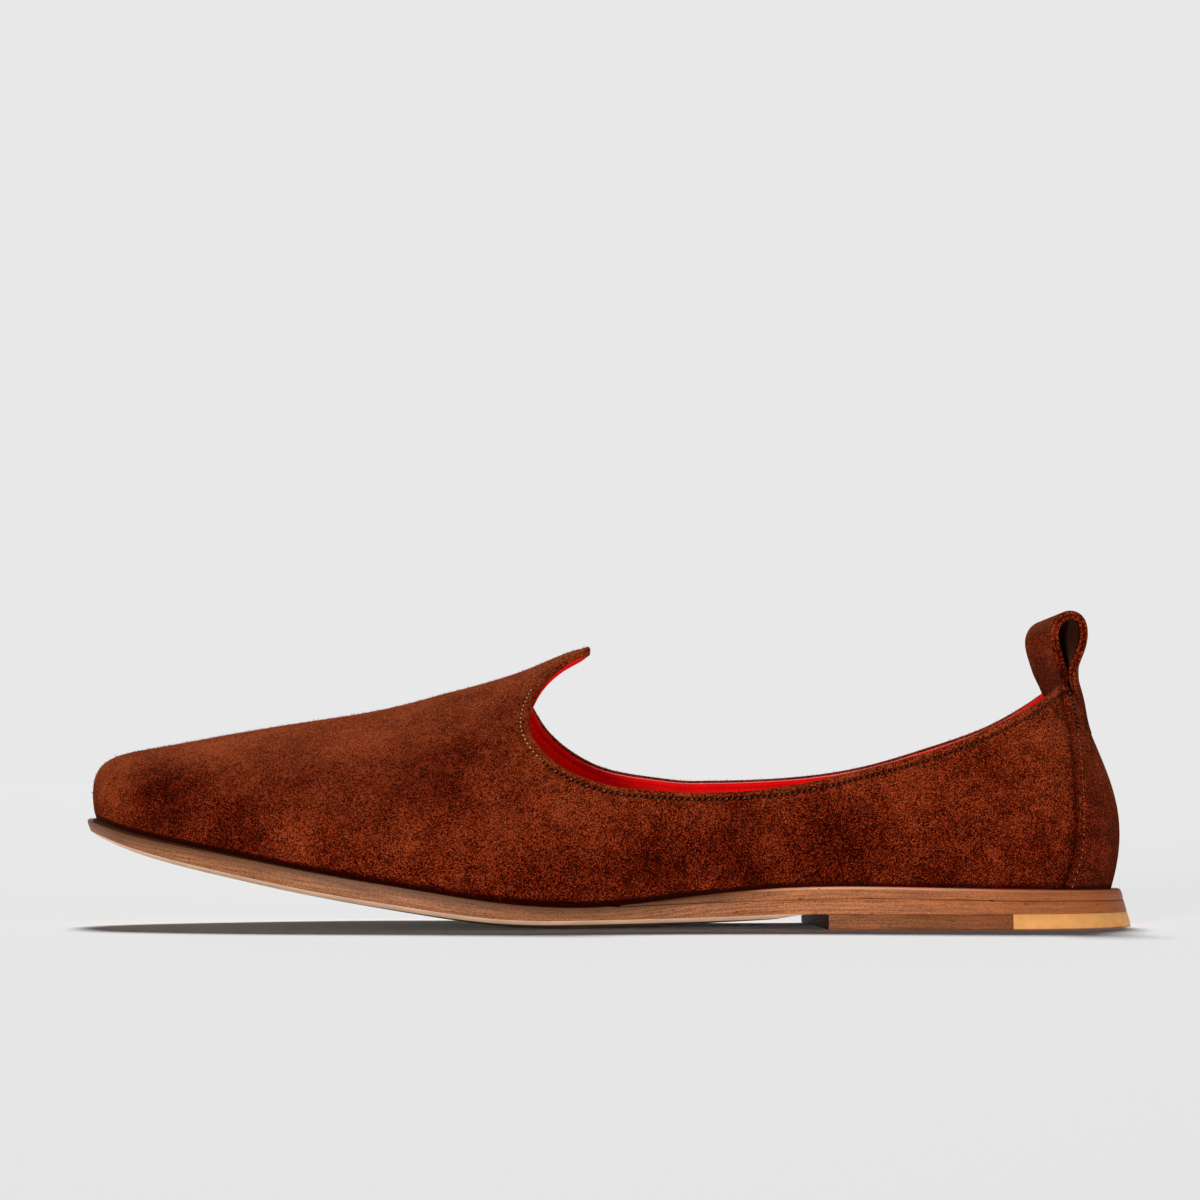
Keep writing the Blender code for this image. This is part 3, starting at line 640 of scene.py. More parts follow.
class ShoeSizes(bpy.types.PropertyGroup):
    """Sizes of what this script adds to the solids."""

    suede_depth: length("Suede", "Thickness of the suede", 1.3, 0.5)
    roll: length("Collar roll", "How far the turned collar stands out", 0.5, 0.0)
    stitch_inset: length("Stitch inset", "From the collar's edge to its row of stitches", 2.2, 1.0)
    stitch_pitch: length("Stitch pitch", "From stitch to stitch round the collar", 1.65, 0.5)
    strip_pitch: length("Strip pitch", "From stitch to stitch on the back strip", 2.1, 0.5)


class ShoeColours(bpy.types.PropertyGroup):
    """Base colours of the materials."""

    suede: colour("Suede", "Upper, back strip and pull loop", 0.142, 0.0142, 0.0027)
    lining: colour("Lining", "Lining, insole and their thread", 0.75, 0.004, 0.005)
    thread: colour("Thread", "Thin stitches round the throat", 0.62, 0.37, 0.2)
    sole_edge: colour("Sole edge", "Burnished edge of the sole and the heel", 0.46, 0.158, 0.056)
    sole_bevel: colour("Sole bevel", "Pale lower edge of the forepart", 0.88, 0.56, 0.37)
    rubber: colour("Rubber", "Heel tip", 0.9, 0.42, 0.125)


def sizes_now():
    """The sidebar's sizes, in millimetres."""
    sizes = bpy.context.scene.shoe_sizes
    return SimpleNamespace(**{key: round(getattr(sizes, key) / MM, 4) for key in ShoeSizes.__annotations__})


def colour_now(key):
    return tuple(getattr(bpy.context.scene.shoe_colours, key))


def tint(base, *factors):
    """A colour times one factor, or times one for each channel."""
    return tuple(c * f for c, f in zip(base, factors * 3 if len(factors) == 1 else factors))


# ---------------------------------------------------------------- materials


class Nodes:
    """A node tree, and short ways to add to it."""

    place = None

    def __init__(self, tree):
        self.tree = tree

    def node(self, kind, inputs=(), output=0, **settings):
        """Adds a node with these inputs and settings, and returns one of its output sockets."""
        made = self.tree.nodes.new(kind)
        for key, value in settings.items():
            setattr(made, key, value)
        for key, value in dict(inputs).items():
            self.feed(made.inputs[key], value)
        return made.outputs[output] if made.outputs else made

    def feed(self, socket, value):
        """Gives an input its value: a number, a vector, a colour or another node's output."""
        if isinstance(value, bpy.types.NodeSocket):
            self.tree.links.new(value, socket)
        elif socket.type == "RGBA":
            socket.default_value = (*value, 1.0)
        else:
            socket.default_value = value

    def attribute(self, name, output):
        return self.node("ShaderNodeAttribute", output=output, attribute_name=name)

    def axis(self, vector, letter):
        return self.node("ShaderNodeSeparateXYZ", {0: vector}, letter)

    def math(self, operation, a, b):
        return self.node("ShaderNodeMath", {0: a, 1: b}, operation=operation)

    def sum(self, *values):
        return functools.reduce(lambda a, b: self.math("ADD", a, b), values)

    def noise(self, size, vector=None, stretch=None, detail=2.0, roughness=0.5):
        """Noise from 0 to 1 with features of this size in millimetres, longer where stretch is small."""
        place = vector or self.place
        if stretch:
            place = self.node("ShaderNodeMapping", {"Vector": place, "Scale": stretch})
        inputs = {"Vector": place, "Scale": 1 / (size * MM), "Detail": detail, "Roughness": roughness}
        return self.node("ShaderNodeTexNoise", inputs, "Fac")

    def spread(self, value, low, high, to_low=0.0, to_high=1.0):
        inputs = {"Value": value, "From Min": low, "From Max": high, "To Min": to_low, "To Max": to_high}
        return self.node("ShaderNodeMapRange", inputs, "Result")

    def swing(self, reach, size, **settings):
        """Noise that swings from -reach to reach."""
        return self.spread(self.noise(size, **settings), 0.3, 0.7, -reach, reach)

    def two_tone(self, value, low, high):
        return self.ramp(value, (0.3, low), (0.7, high))

    def ramp(self, value, *stops):
        """Colours at places from 0 to 1."""
        made = self.node("ShaderNodeValToRGB", {"Fac": value}, "Color")
        elements = made.node.color_ramp.elements
        while len(elements) < len(stops):
            elements.new(0.5)
        for element, (place, shade) in zip(elements, stops):
            element.position = place
            element.color = (*shade, 1.0)
        return made

    def mix(self, factor, a, b, blend="MIX"):
        inputs = {"Factor": factor, 6: a, 7: b}  # 6 and 7 are the sockets for colours
        return self.node("ShaderNodeMix", inputs, 2, data_type="RGBA", blend_type=blend)


class Paint(Nodes):
    """A material under construction."""

    def __init__(self, name, roughness, specular=0.3):
        self.material = bpy.data.materials.new(name)
        self.material.use_nodes = True
        super().__init__(self.material.node_tree)
        self.place = self.node("ShaderNodeTexCoord", output="Object")
        self.shader = self.tree.nodes["Principled BSDF"]
        self.set({"Roughness": roughness, "Metallic": 0.0, "Specular IOR Level": specular})

    def set(self, inputs):
        for key, value in inputs.items():
            self.feed(self.shader.inputs[key], value)

    def finish(self, shade, height=None, depth=0.1):
        """Sets the colour and a fine relief, depth in millimetres."""
        self.set({"Base Color": shade})
        if height is not None:
            self.set({"Normal": self.node("ShaderNodeBump", {"Distance": depth * MM, "Height": height})})
        return self.material


@functools.cache
def suede_material():
    """Nap in patches, tufts and fine tips; the attribute that carries the nap's own tone together with
    painted light and shade makes it lighter or darker.
    """
    base = colour_now("suede")
    paint = Paint("suede", 1.0, specular=0.0)
    paint.set({"Sheen Weight": 0.08, "Sheen Tint": (1.0, 0.42, 0.2)})
    tips = paint.node("ShaderNodeTexVoronoi", {"Vector": paint.place, "Scale": 1 / (0.27 * MM)}, "Color")
    soft = paint.sum(paint.attribute("nap", "Fac"), paint.swing(0.8, 13, detail=4.0, roughness=0.65))
    value = paint.sum(
        soft,
        paint.swing(0.55, 4.0),
        paint.swing(2.6, 0.36, roughness=0.9),
        paint.spread(paint.axis(tips, "X"), 0.0, 1.0, -2.7, 2.7),
    )
    tone = paint.ramp(
        paint.spread(value, -2.2, 2.2),
        (0.0, tint(base, 0.12, 0.06, 0.1)),
        (0.3, tint(base, 0.5, 0.36, 0.35)),
        (0.52, base),
        (0.78, tint(base, 1.65, 2.1, 2.3)),
        (1.0, tint(base, 2.6, 4.0, 5.5)),
    )
    warmth = paint.ramp(paint.spread(soft, -1.2, 1.2), (0.0, (1.0, 0.84, 0.9)), (1.0, (1.0, 1.18, 1.3)))
    fuzz = paint.sum(paint.noise(0.4, roughness=0.7), paint.noise(2.5))
    return paint.finish(paint.mix(1.0, tone, warmth, "MULTIPLY"), fuzz, 0.2)


@functools.cache
def lining_material():
    base = colour_now("lining")
    paint = Paint("red_lining", 0.6, specular=0.04)
    tone = paint.two_tone(paint.noise(6, detail=3.0), tint(base, 0.88), tint(base, 1.08))
    return paint.finish(tone, paint.noise(0.8, detail=3.0), 0.08)


@functools.cache
def thread_material(name, base):
    paint = Paint(name, 0.9, specular=0.02)
    return paint.finish(paint.mix(paint.noise(0.5), tint(base, 0.75), tint(base, 1.15)))


# Needle holes are flattened near-black beads: painted shade inside each hole.
@functools.cache
def hole_shade_material():
    return Paint("needle_hole", 1.0, specular=0.0).finish((0.012, 0.003, 0.002))


@functools.cache
def edge_material(name="sole_edge", factor=1.0):
    """Burnished leather edge: streaks and pores along it, a painted highlight along the arris at the back,
    darker at the front, and painted shade along the top of the forepart's edge under the upper.

    The attribute grain gives the place along the edge and the height over the upper's foot.
    """
    base = tint(colour_now("sole_edge"), factor)
    paint = Paint(name, 0.5, specular=0.2 * min(1.0, factor))
    grain = paint.attribute("grain", "Vector")
    streak = paint.noise(0.8, grain, (0.05, 1.0, 1.3), detail=4.0, roughness=0.65)
    value = paint.sum(paint.spread(streak, 0.3, 0.7, -0.7, 0.7), paint.swing(0.5, 0.45))
    value = paint.spread(value, -1.0, 1.0)
    tone = paint.ramp(value, (0.0, tint(base, 0.3)), (0.5, base), (1.0, tint(base, 1.8)))
    height = paint.math("DIVIDE", paint.axis(grain, "Z"), MM)
    along = paint.axis(paint.place, "X")
    fore = paint.spread(along, 0.05, 0.03)
    tone = paint.mix(fore, tone, paint.mix(1.0, tone, (0.76, 0.84, 1.0), "MULTIPLY"))
    back = paint.math("MULTIPLY", paint.spread(along, 0.04, 0.06), paint.spread(along, 0.155, 0.09, 0.1, 1.0))
    # Over the tone: painted shade along the top of the forepart's edge, a painted highlight on the arris at
    # the back, the toe end darker, warmer towards the heel, and dark pores.
    for mask, strength, factors in (
        (paint.math("MULTIPLY", paint.spread(height, -3.3, -0.5), fore), 0.8, (0.2,)),
        (paint.math("MULTIPLY", paint.spread(height, -0.85, -0.55), back), 0.75, (2.2, 3.4, 6.0)),
        (paint.spread(along, -0.12, -0.15), 0.5, (0.3,)),
        (paint.spread(along, 0.06, 0.145), 0.75, (0.75, 0.5, 0.25)),
        (paint.spread(paint.noise(0.9, grain, (0.4, 1.0, 1.0)), 0.36, 0.28), 1.0, (0.3,)),
    ):
        tone = paint.mix(paint.math("MULTIPLY", mask, strength), tone, tint(base, *factors))
    return paint.finish(tone, streak, 0.15)


@functools.cache
def bevel_material():
    base = colour_now("sole_bevel")
    paint = Paint("sole_bevel", 0.6)
    streak = paint.noise(2.0, paint.attribute("grain", "Vector"), (0.2, 1.0, 1.0), detail=4.0)
    return paint.finish(paint.two_tone(streak, tint(base, 0.8), tint(base, 1.1)), streak, 0.05)


# Far darker than the pale leather of the bevel: painted shade of the sole's contact with the floor.
@functools.cache
def underside_material():
    paint = Paint("sole_underside", 0.7, specular=0.1)
    streak = paint.noise(9.0, stretch=(0.4, 1.0, 1.0), detail=5.0, roughness=0.6)
    return paint.finish(paint.two_tone(streak, (0.2, 0.115, 0.065), (0.29, 0.18, 0.105)), streak, 0.05)


@functools.cache
def rubber_material():
    base = colour_now("rubber")
    paint = Paint("heel_rubber", 0.55)
    return paint.finish(paint.two_tone(paint.noise(3, detail=3.0), tint(base, 0.9), tint(base, 1.08)))


# ---------------------------------------------------------------- upper and lining

# Where the nap of the outer side lies darker (below 0) or lighter: x, z, reach, value. The lighter patch at x
# 120, z 55, by the back strip, is a painted highlight.
NAP = (
    (-128, 39, 9, -1.1), (-122, 36, 7, -0.8), (-105, 30, 9, -0.9), (-45, 44, 14, -0.6), (10, 20, 10, -0.7),
    (38, 36, 9, -0.6), (38, 23, 9, -0.6), (64, 28, 9, -0.5), (-112, 51, 9, 0.6), (-141, 42, 9, 0.6),
    (-89, 25, 7, 0.5), (-70, 51, 11, 0.6), (-59, 23, 9, 0.4), (-9, 36, 8, 0.5), (47, 20, 8, 0.5),
    (80, 36, 11, 0.5), (110, 17, 8, 0.5), (120, 55, 8, 0.5),
)

# Soft swellings (above 0) and hollows of the leather: side, x, z, reach along, reach across, turn, height.
FOLDS = (
    (-1, -110, 49, 12, 6, 20, 0.5), (-1, -122, 38, 5, 9, 10, -0.5), (-1, -88, 33, 14, 5, -25, 0.5),
    (-1, -72, 22, 13, 4, 8, 0.45), (-1, -58, 46, 16, 6, 35, -0.5), (-1, -38, 56, 12, 5, 40, 0.45),
    (-1, -30, 34, 16, 5, -30, -0.45), (-1, -8, 30, 14, 6, 50, 0.6), (-1, 16, 25, 6, 12, 15, -0.55),
    (-1, 33, 28, 6, 11, -15, 0.5), (-1, 50, 30, 5, 12, 10, -0.5), (-1, 78, 33, 16, 6, 20, 0.45),
    (-1, 108, 22, 12, 5, -10, 0.4), (-1, 118, 48, 6, 12, -15, -0.4), (1, -112, 46, 13, 6, 15, 0.45),
    (1, -90, 34, 15, 6, -20, -0.45), (1, -60, 44, 16, 6, 30, 0.5), (1, -30, 40, 14, 6, -35, -0.45),
    (1, 0, 30, 12, 7, 40, 0.5), (1, 30, 26, 7, 12, -10, -0.5), (1, 62, 30, 14, 6, 15, 0.45),
    (1, 98, 34, 7, 12, 10, -0.4),
)


def nap_and_shading_at(points):
    """Nap at these points: the table's patches, with painted light lighter high up, and painted shade darker
    low down by the sole, on the quarter and in the crease along the upper's foot.
    """
    value = np.zeros(len(points))
    for x, z, reach, strength in NAP:
        gap = points - last_point(*find(-1, x, z))
        value += strength * np.exp(-dot(gap, gap) / reach**2)
    x = points[:, 0]
    lift = points[:, 2] - foot_height(x)
    share = lift / (np.interp(x, RIDGE[:, 0], RIDGE[:, 2]) - foot_height(x))
    fore = ease(60, 30, x)
    # Painted shade in the crease where the upper meets the sole, low on the wall, and on the quarter behind x
    # 30 to 60; painted light high up on the wall.
    crease_shade = (3.5 + 1.5 * fore) * ease(1.4 + 0.3 * fore, 0.7, lift)
    low = 0.9 * ease(0.4, 0.05, share)
    return 1.8 * value - low + 0.6 * ease(0.4, 0.95, share) + 0.05 - 0.45 * (1 - fore) - crease_shade


def folds(points):
    """Height of the soft swellings and hollows at these points of the last."""
    height = np.zeros(len(points))
    middle = np.interp(points[:, 0], RIDGE[:, 0], RIDGE[:, 1])
    for side, x, z, along, across, turn, high in FOLDS:
        turn = math.radians(turn)
        dx, dz = points[:, 0] - x, points[:, 2] - z
        u, w = dx * math.cos(turn) + dz * math.sin(turn), dz * math.cos(turn) - dx * math.sin(turn)
        near = ease(0, 8, side * (points[:, 1] - middle))
        height += near * high * bell(u, along) * bell(w, across)
    return height


@functools.cache
def rim_tree():
    """The opening's edge as a search tree, and its points' places along it from the throat's corner."""
    edge, places = [], []
    for side in (-1, 1):
        fine, run, corner = rim(side)
        edge.extend(last_point(*fine.T))
        places.extend(run - corner)
    tree = KDTree(len(edge))
    for i, point in enumerate(edge):
        tree.insert(point, i)
    tree.balance()
    return tree, np.array(places)


def rim_distance(points):
    """(distance from the opening's edge, place along it from the throat's corner) of these points."""
    tree, places = rim_tree()
    found = [tree.find(p) for p in points]
    return np.array([f[2] for f in found]), places[[f[1] for f in found]]


def inset_at(place, sizes):
    """Distance of the stitches from the edge: a little more round the throat, less at the waist."""
    waist = ease(4, 20, place) * ease(80, 50, place)
    return sizes.stitch_inset + 0.2 * ease(6, -14, place) - 0.3 * waist


def collar_relief(away, place, sizes):
    """How far the suede stands out near the edge: a soft roll and the groove of the stitches."""
    inset = inset_at(place, sizes)
    half = inset / 2 - 0.1
    swell = np.sqrt(np.clip(1 - ((away - half) / (half + 0.1)) ** 2, 0, 1))
    return (0.3 + 0.7 * ease(-6, 16, place)) * (sizes.roll * swell - 0.5 * bell(away - inset, 0.36))


def collar_shade(away, place, sizes):
    """Painted shade in the groove of the stitches, a painted highlight on the rolled band between the edge
    and the groove, and darker on the edge of the peak.
    """
    inset = inset_at(place, sizes)
    groove = bell(away - inset, 0.45) * (0.35 + 0.65 * ease(-4, 14, place))
    edge = ease(2.4, 0.3, away) * ease(-10, -22, place)
    band = ease(inset - 0.4, inset - 0.9, away) * ease(0, 14, place)
    return 0.6 * band - 1.8 * groove - 0.8 * edge


def strip_shade(points):
    """Painted shade close in front of the back strip, where it stands out from the quarter, and a painted
    highlight a little further away.
    """
    gap = np.interp(points[:, 2], *zip(*STRIP_EDGE)) - points[:, 0]
    return 0.4 * bell(gap - 6, 4) - 2.2 * bell(gap - 0.2, 0.6)


def nap_fibres(ground, count=40000, long=0.75, wide=0.12):
    """Short fibres of the nap, each a closed pointed sliver, strewn over the outside of a piece."""
    mesh = ground.data
    mesh.calc_loop_triangles()
    corners = np.array([t.vertices[:] for t in mesh.loop_triangles])
    places = np.array([v.co[:] for v in mesh.vertices]) / MM
    nap = np.array([v.value for v in mesh.attributes["nap"].data])
    a, b, c = (places[corners[:, i]] for i in range(3))
    across = np.cross(b - a, c - a)
    area = np.linalg.norm(across, axis=1)
    normal = across / area[:, None]
    centre = (a + b + c) / 3
    middle = columns(np.interp(centre[:, 0], RIDGE[:, 0], RIDGE[:, 1]), 25.0)  # a line inside the shoe
    area[dot(centre[:, 1:] - middle, normal[:, 1:]) < 0] = 0  # the inside of the piece
    rng = np.random.default_rng(5)
    picked = rng.choice(len(a), count, p=area / area.sum())
    u, w = rng.random((2, count))
    fold = u + w > 1
    u[fold], w[fold] = 1 - u[fold], 1 - w[fold]
    root = a[picked] * (1 - u - w)[:, None] + b[picked] * u[:, None] + c[picked] * w[:, None]
    n = normal[picked]
    lean = rng.normal(size=(count, 3)) * 0.75
    way = unit(n * 0.8 + lean - n * dot(lean, n)[:, None])
    side = unit(np.cross(way, rng.normal(size=(count, 3))))
    other = np.cross(way, side)
    base = root - n * 0.1
    points = [base + way * (long * rng.uniform(0.6, 1.3, count))[:, None]]
    for turn in map(math.radians, (0, 120, 240)):
        points.append(base + (side * math.cos(turn) + other * math.sin(turn)) * wide / 2)
    points = np.stack(points, axis=1).reshape(-1, 3)
    first = np.arange(count)[:, None] * 4
    faces = np.concatenate([first + np.array(f) for f in ((0, 1, 2), (0, 2, 3), (0, 3, 1), (1, 3, 2))])
    # Fibres lighter than the suede under them: paler fibre tips, with painted glints.
    nap = np.repeat(nap[corners[picked]].mean(axis=1) + rng.uniform(0.2, 3.0, count), 4)
    add_piece("nap_fibres", "upper", "suede", points, faces, suede_material(), nap=nap, angle=180)


class SHOE_OT_upper(bpy.types.Operator):
    """Build the suede upper and the red lining inside it"""

    bl_idname = "shoe.upper"
    bl_label = "Upper and lining"

    def execute(self, context):
        sizes = sizes_now()
        net = upper_net(first_row=1)
        away, place = rim_distance(net.points)
        lift = net.points[:, 2] - foot_height(net.points[:, 0])
        calm = ease(sizes.stitch_inset + 1.0, 9.0, away) * ease(1.0, 7.0, lift)
        tuck = (0.8 - 0.6 * ease(120, 138, abs(net.points[:, 0]))) * ease(1.6, 0.3, lift)
        outer = collar_relief(away, place, sizes) + folds(net.points) * calm - tuck
        turned = ease(8.0, 4.0, place - place.min()) * ease(2.4, 1.6, away)
        rim_profile = ((0.1, 0.14), (0.35, 0.28), (0.65, 0.28), (0.9, 0.14))
        points, faces = closed_shell(net, outer, -sizes.suede_depth - turned, rim_profile)
        away, place = rim_distance(points)
        nap = nap_and_shading_at(points) + collar_shade(away, place, sizes) + strip_shade(points)
        suede = add_piece("suede_upper", "upper", "suede", points, faces, suede_material(), nap=nap)
        nap_fibres(suede)

        net = upper_net(first_row=2)
        away, place = rim_distance(net.points)
        inner = 0.3 * bell(away - 2.0, 0.25) + 0.2 * bell(away - sizes.stitch_inset, 0.4) - LINING_FACE
        points, faces = closed_shell(net, -sizes.suede_depth - SEAT_GAP, inner, ((0.3, 0.12), (0.7, 0.12)))
        add_piece("lining", "upper", "red_lining", points, faces, lining_material())
        return {"FINISHED"}


# ---------------------------------------------------------------- stitches


@functools.cache
def stitch_group():
    """Nodes that lay a small rounded stitch at even steps along a line."""
    group = bpy.data.node_groups.new("stitch_row", "GeometryNodeTree")
    for name, kind in zip(
        ("Line", "Pitch", "Size", "Slant", "Material", "Stitches"),
        ("Geometry", "Float", "Vector", "Float", "Material", "Geometry"),
    ):
        way = "OUTPUT" if name == "Stitches" else "INPUT"
        group.interface.new_socket(name=name, in_out=way, socket_type="NodeSocket" + kind)
    node = Nodes(group).node
    given = node("NodeGroupInput").node.outputs
    curve = node("GeometryNodeMeshToCurve", {"Mesh": given["Line"]})
    even = node("GeometryNodeResampleCurve", {"Curve": curve, "Length": given["Pitch"]}, mode="LENGTH")
    up = node("GeometryNodeInputNamedAttribute", {"Name": "up"}, data_type="FLOAT_VECTOR")
    stand = node("FunctionNodeAlignRotationToVector", {"Vector": up}, axis="Z")
    along = {"Rotation": stand, "Vector": node("GeometryNodeInputTangent")}
    run = node("FunctionNodeAlignRotationToVector", along, axis="X", pivot_axis="Z")
    slant = node("FunctionNodeAxisAngleToRotation", {"Axis": (0, 0, 1), "Angle": given["Slant"]})
    turn = node("FunctionNodeRotateRotation", {"Rotation": run, "Rotate By": slant}, rotation_space="LOCAL")
    limits = {"Min": (0.8, 0.85, 0.8), "Max": (1.1, 1.15, 1.1), "Seed": 1}
    vary = node("FunctionNodeRandomValue", limits, data_type="FLOAT_VECTOR")
    size = node("ShaderNodeVectorMath", {0: vary, 1: given["Size"]}, operation="MULTIPLY")
    ball = node("GeometryNodeMeshIcoSphere", {"Radius": 0.5, "Subdivisions": 2})
    laying = {"Points": even, "Instance": ball, "Rotation": turn, "Scale": size}
    laid = node("GeometryNodeInstanceOnPoints", laying)
    real = node("GeometryNodeRealizeInstances", {"Geometry": laid})
    done = node("GeometryNodeSetMaterial", {"Geometry": real, "Material": given["Material"]})
    node("NodeGroupOutput", {"Stitches": done})
    return group


def stitch_row(name, node, slot, lines, pitch, size, slant, material):
    """A piece of stitches along lines, each an array of points and an array of outward directions."""
    edges, count = [], 0
    for line, up in lines:
        edges += [(count + i, count + i + 1) for i in range(len(line) - 1)]
        count += len(line)
    points, ups = (np.concatenate(part) for part in zip(*lines))
    guide = add_mesh(name, points, edges, [], up=ups)
    modifier = guide.modifiers.new("stitches", "NODES")
    modifier.node_group = stitch_group()
    size, slant = [s * MM for s in size], math.radians(slant)
    values = {"Pitch": pitch * MM, "Size": size, "Slant": slant, "Material": material}
    for item in modifier.node_group.interface.items_tree:
        if item.name in values:
            modifier[item.identifier] = values[item.name]
    done = bpy.data.meshes.new_from_object(guide.evaluated_get(bpy.context.evaluated_depsgraph_get()))
    guide.modifiers.remove(modifier)
    guide.data = done
    if not done.polygons:
        raise RuntimeError(f"{name} came out empty")
    done.shade_smooth()
    belongs(guide, node, slot)


def collar_rows(sizes, lift=0.0, start=-99.0, stop=400.0, skip=0.0, inside=False):
    """Lines along the groove round the opening, or on the lining inside it, with their outward directions.

    They lie lift above the groove and run from start to stop, counted along the rim from the throat's
    corner; the first stitch stands skip further on.
    """
    lines = []
    for side in (-1, 1):
        fine, run, corner = rim(side)
        picked = np.arange(0, len(fine), 6)
        place = run[picked] - corner
        inset = inset_at(place, sizes)
        row = moved_in(fine[picked], side, inset, steps=12)
        points, up = last_point(*row.T), last_normal(*row.T)
        keep = (row[:, 1] < 0.995) & (points[:, 0] < ROWS_END) & (place > start) & (place < stop)
        groove = collar_relief(inset, place, sizes) + 0.05 + 0.3 * ease(0, 12, place)
        off = np.full(len(place), 0.1 - LINING_FACE) if inside else groove + lift
        points, up = (points + up * off[:, None])[keep], up[keep]
        run = run_of(points)
        places = np.linspace(skip, run[-1], len(points))
        lines.append((picked_at(places, run, points), picked_at(places, run, -up if inside else up)))
    return lines


def strip_rows(inset, off, low=12.5, high=57.0, first=0):
    """Lines inside both edges of the back strip, from the point numbered first on."""
    edge = spline(*zip(*STRIP_EDGE))
    lines = []
    for side in (-1, 1):
        row = np.array([find(side, float(edge(z)[0, 0]), z) for z in np.linspace(low, high, 80)])
        points, up = last_point(*row.T), last_normal(*row.T)
        way = unit(np.cross(np.gradient(points, axis=0), up))
        way *= np.sign(way[:, :1])
        lines.append(((points + way * inset + up * off)[first:], up[first:]))
    return lines


class SHOE_OT_stitches(bpy.types.Operator):
    """Sew the rows of stitches round the collar, inside it and on the back strip"""

    bl_idname = "shoe.stitches"
    bl_label = "Stitches"

    def execute(self, context):
        sizes = sizes_now()
        pitch = sizes.stitch_pitch
        tan = thread_material("thread", colour_now("thread"))
        red = thread_material("red_thread", colour_now("lining"))
        rope = thread_material("brown_thread", (0.12, 0.032, 0.012))
        rust = thread_material("rust_thread", (0.36, 0.12, 0.05))
        # The beads at the needle holes are painted shade.
        painted_shade = hole_shade_material()
        throat = collar_rows(sizes, start=-25.0, stop=2.0)
        throat_holes = collar_rows(sizes, -0.03, start=-25.0, stop=2.0, skip=pitch / 2)
        collar = collar_rows(sizes, start=2.0)
        collar_holes = collar_rows(sizes, -0.05, start=2.0, skip=pitch / 2)
        thread_ends = collar_rows(sizes, 0.1, start=2.0, skip=pitch * 0.3)
        lining = collar_rows(sizes, inside=True)
        strip, strip_holes = strip_rows(1.7, 1.27), strip_rows(1.7, 1.24, first=3)
        tab, tab_holes = strip_rows(1.5, 2.0, 56.0, 66.5), strip_rows(1.6, 1.95, 56.6, 67.0)
        rows = {
            "throat_stitches": (throat, pitch, (0.8, 0.4, 0.34), 12, tan),
            "throat_needle_holes": (throat_holes, pitch, (0.6, 0.5, 0.25), 20, painted_shade),
            "collar_stitches": (collar, pitch, (1.3, 0.62, 0.62), 35, rope),
            "collar_needle_holes": (collar_holes, pitch, (1.3, 0.8, 0.7), 60, painted_shade),
            "collar_thread_ends": (thread_ends, pitch * 3, (0.5, 0.26, 0.3), 40, tan),
            "lining_stitches": (lining, pitch, (1.2, 0.5, 0.4), 10, red),
            "strip_stitches": (strip, sizes.strip_pitch, (0.85, 0.34, 0.3), 8, rust),
            "strip_needle_holes": (strip_holes, sizes.strip_pitch, (0.6, 0.45, 0.2), 0, painted_shade),
            "tab_needle_holes": (tab_holes, TAB_PITCH, (1.5, 1.0, 0.6), 60, painted_shade),
            "tab_stitches": (tab, TAB_PITCH, (1.2, 0.5, 0.6), 35, rope),
        }
        for name, row in rows.items():
            node = "heel_strip" if name.startswith(("strip", "tab")) else "upper"
            stitch_row(name, node, "red_lining" if name.startswith("lining") else "suede", *row)
        return {"FINISHED"}


# ---------------------------------------------------------------- back strip and loop


class SHOE_OT_back_strip(bpy.types.Operator):
    """Build the suede strip over the back seam"""

    bl_idname = "shoe.back_strip"
    bl_label = "Back strip"

    def execute(self, context):
        edge = spline(*zip(*STRIP_EDGE))
        rows, columns = 70, 61
        points = []
        for z in np.linspace(STRIP_EDGE[0][0] - 0.8, STRIP_EDGE[-1][0], rows):
            x = float(edge(z)[0, 0])
            t = np.linspace(find(-1, x, z)[0], find(1, x, z)[0] - FULL_T, columns)
            points.extend(last_point(t, back_v(t, z)))
        net = Net(np.array(points), net_faces(rows, columns))
        high = 1.25 + 0.7 * ease(54, 62, net.points[:, 2])
        points, faces = closed_shell(net, high, SEAT_GAP, ((0.2, 0.18), (0.55, 0.22), (0.85, 0.15)))
        nap = nap_and_shading_at(points) - 0.2
        # The cut edge is darkened: painted shade of the step and gap along the strip's edge, deeper near its
        # top by the loop.
        nap[2 * len(high) :] -= 1.5 + 1.5 * ease(52, 58, points[2 * len(high) :, 2])  # the cut edge
        add_piece("back_strip", "heel_strip", "suede", points, faces, suede_material(), nap=nap)
        return {"FINISHED"}


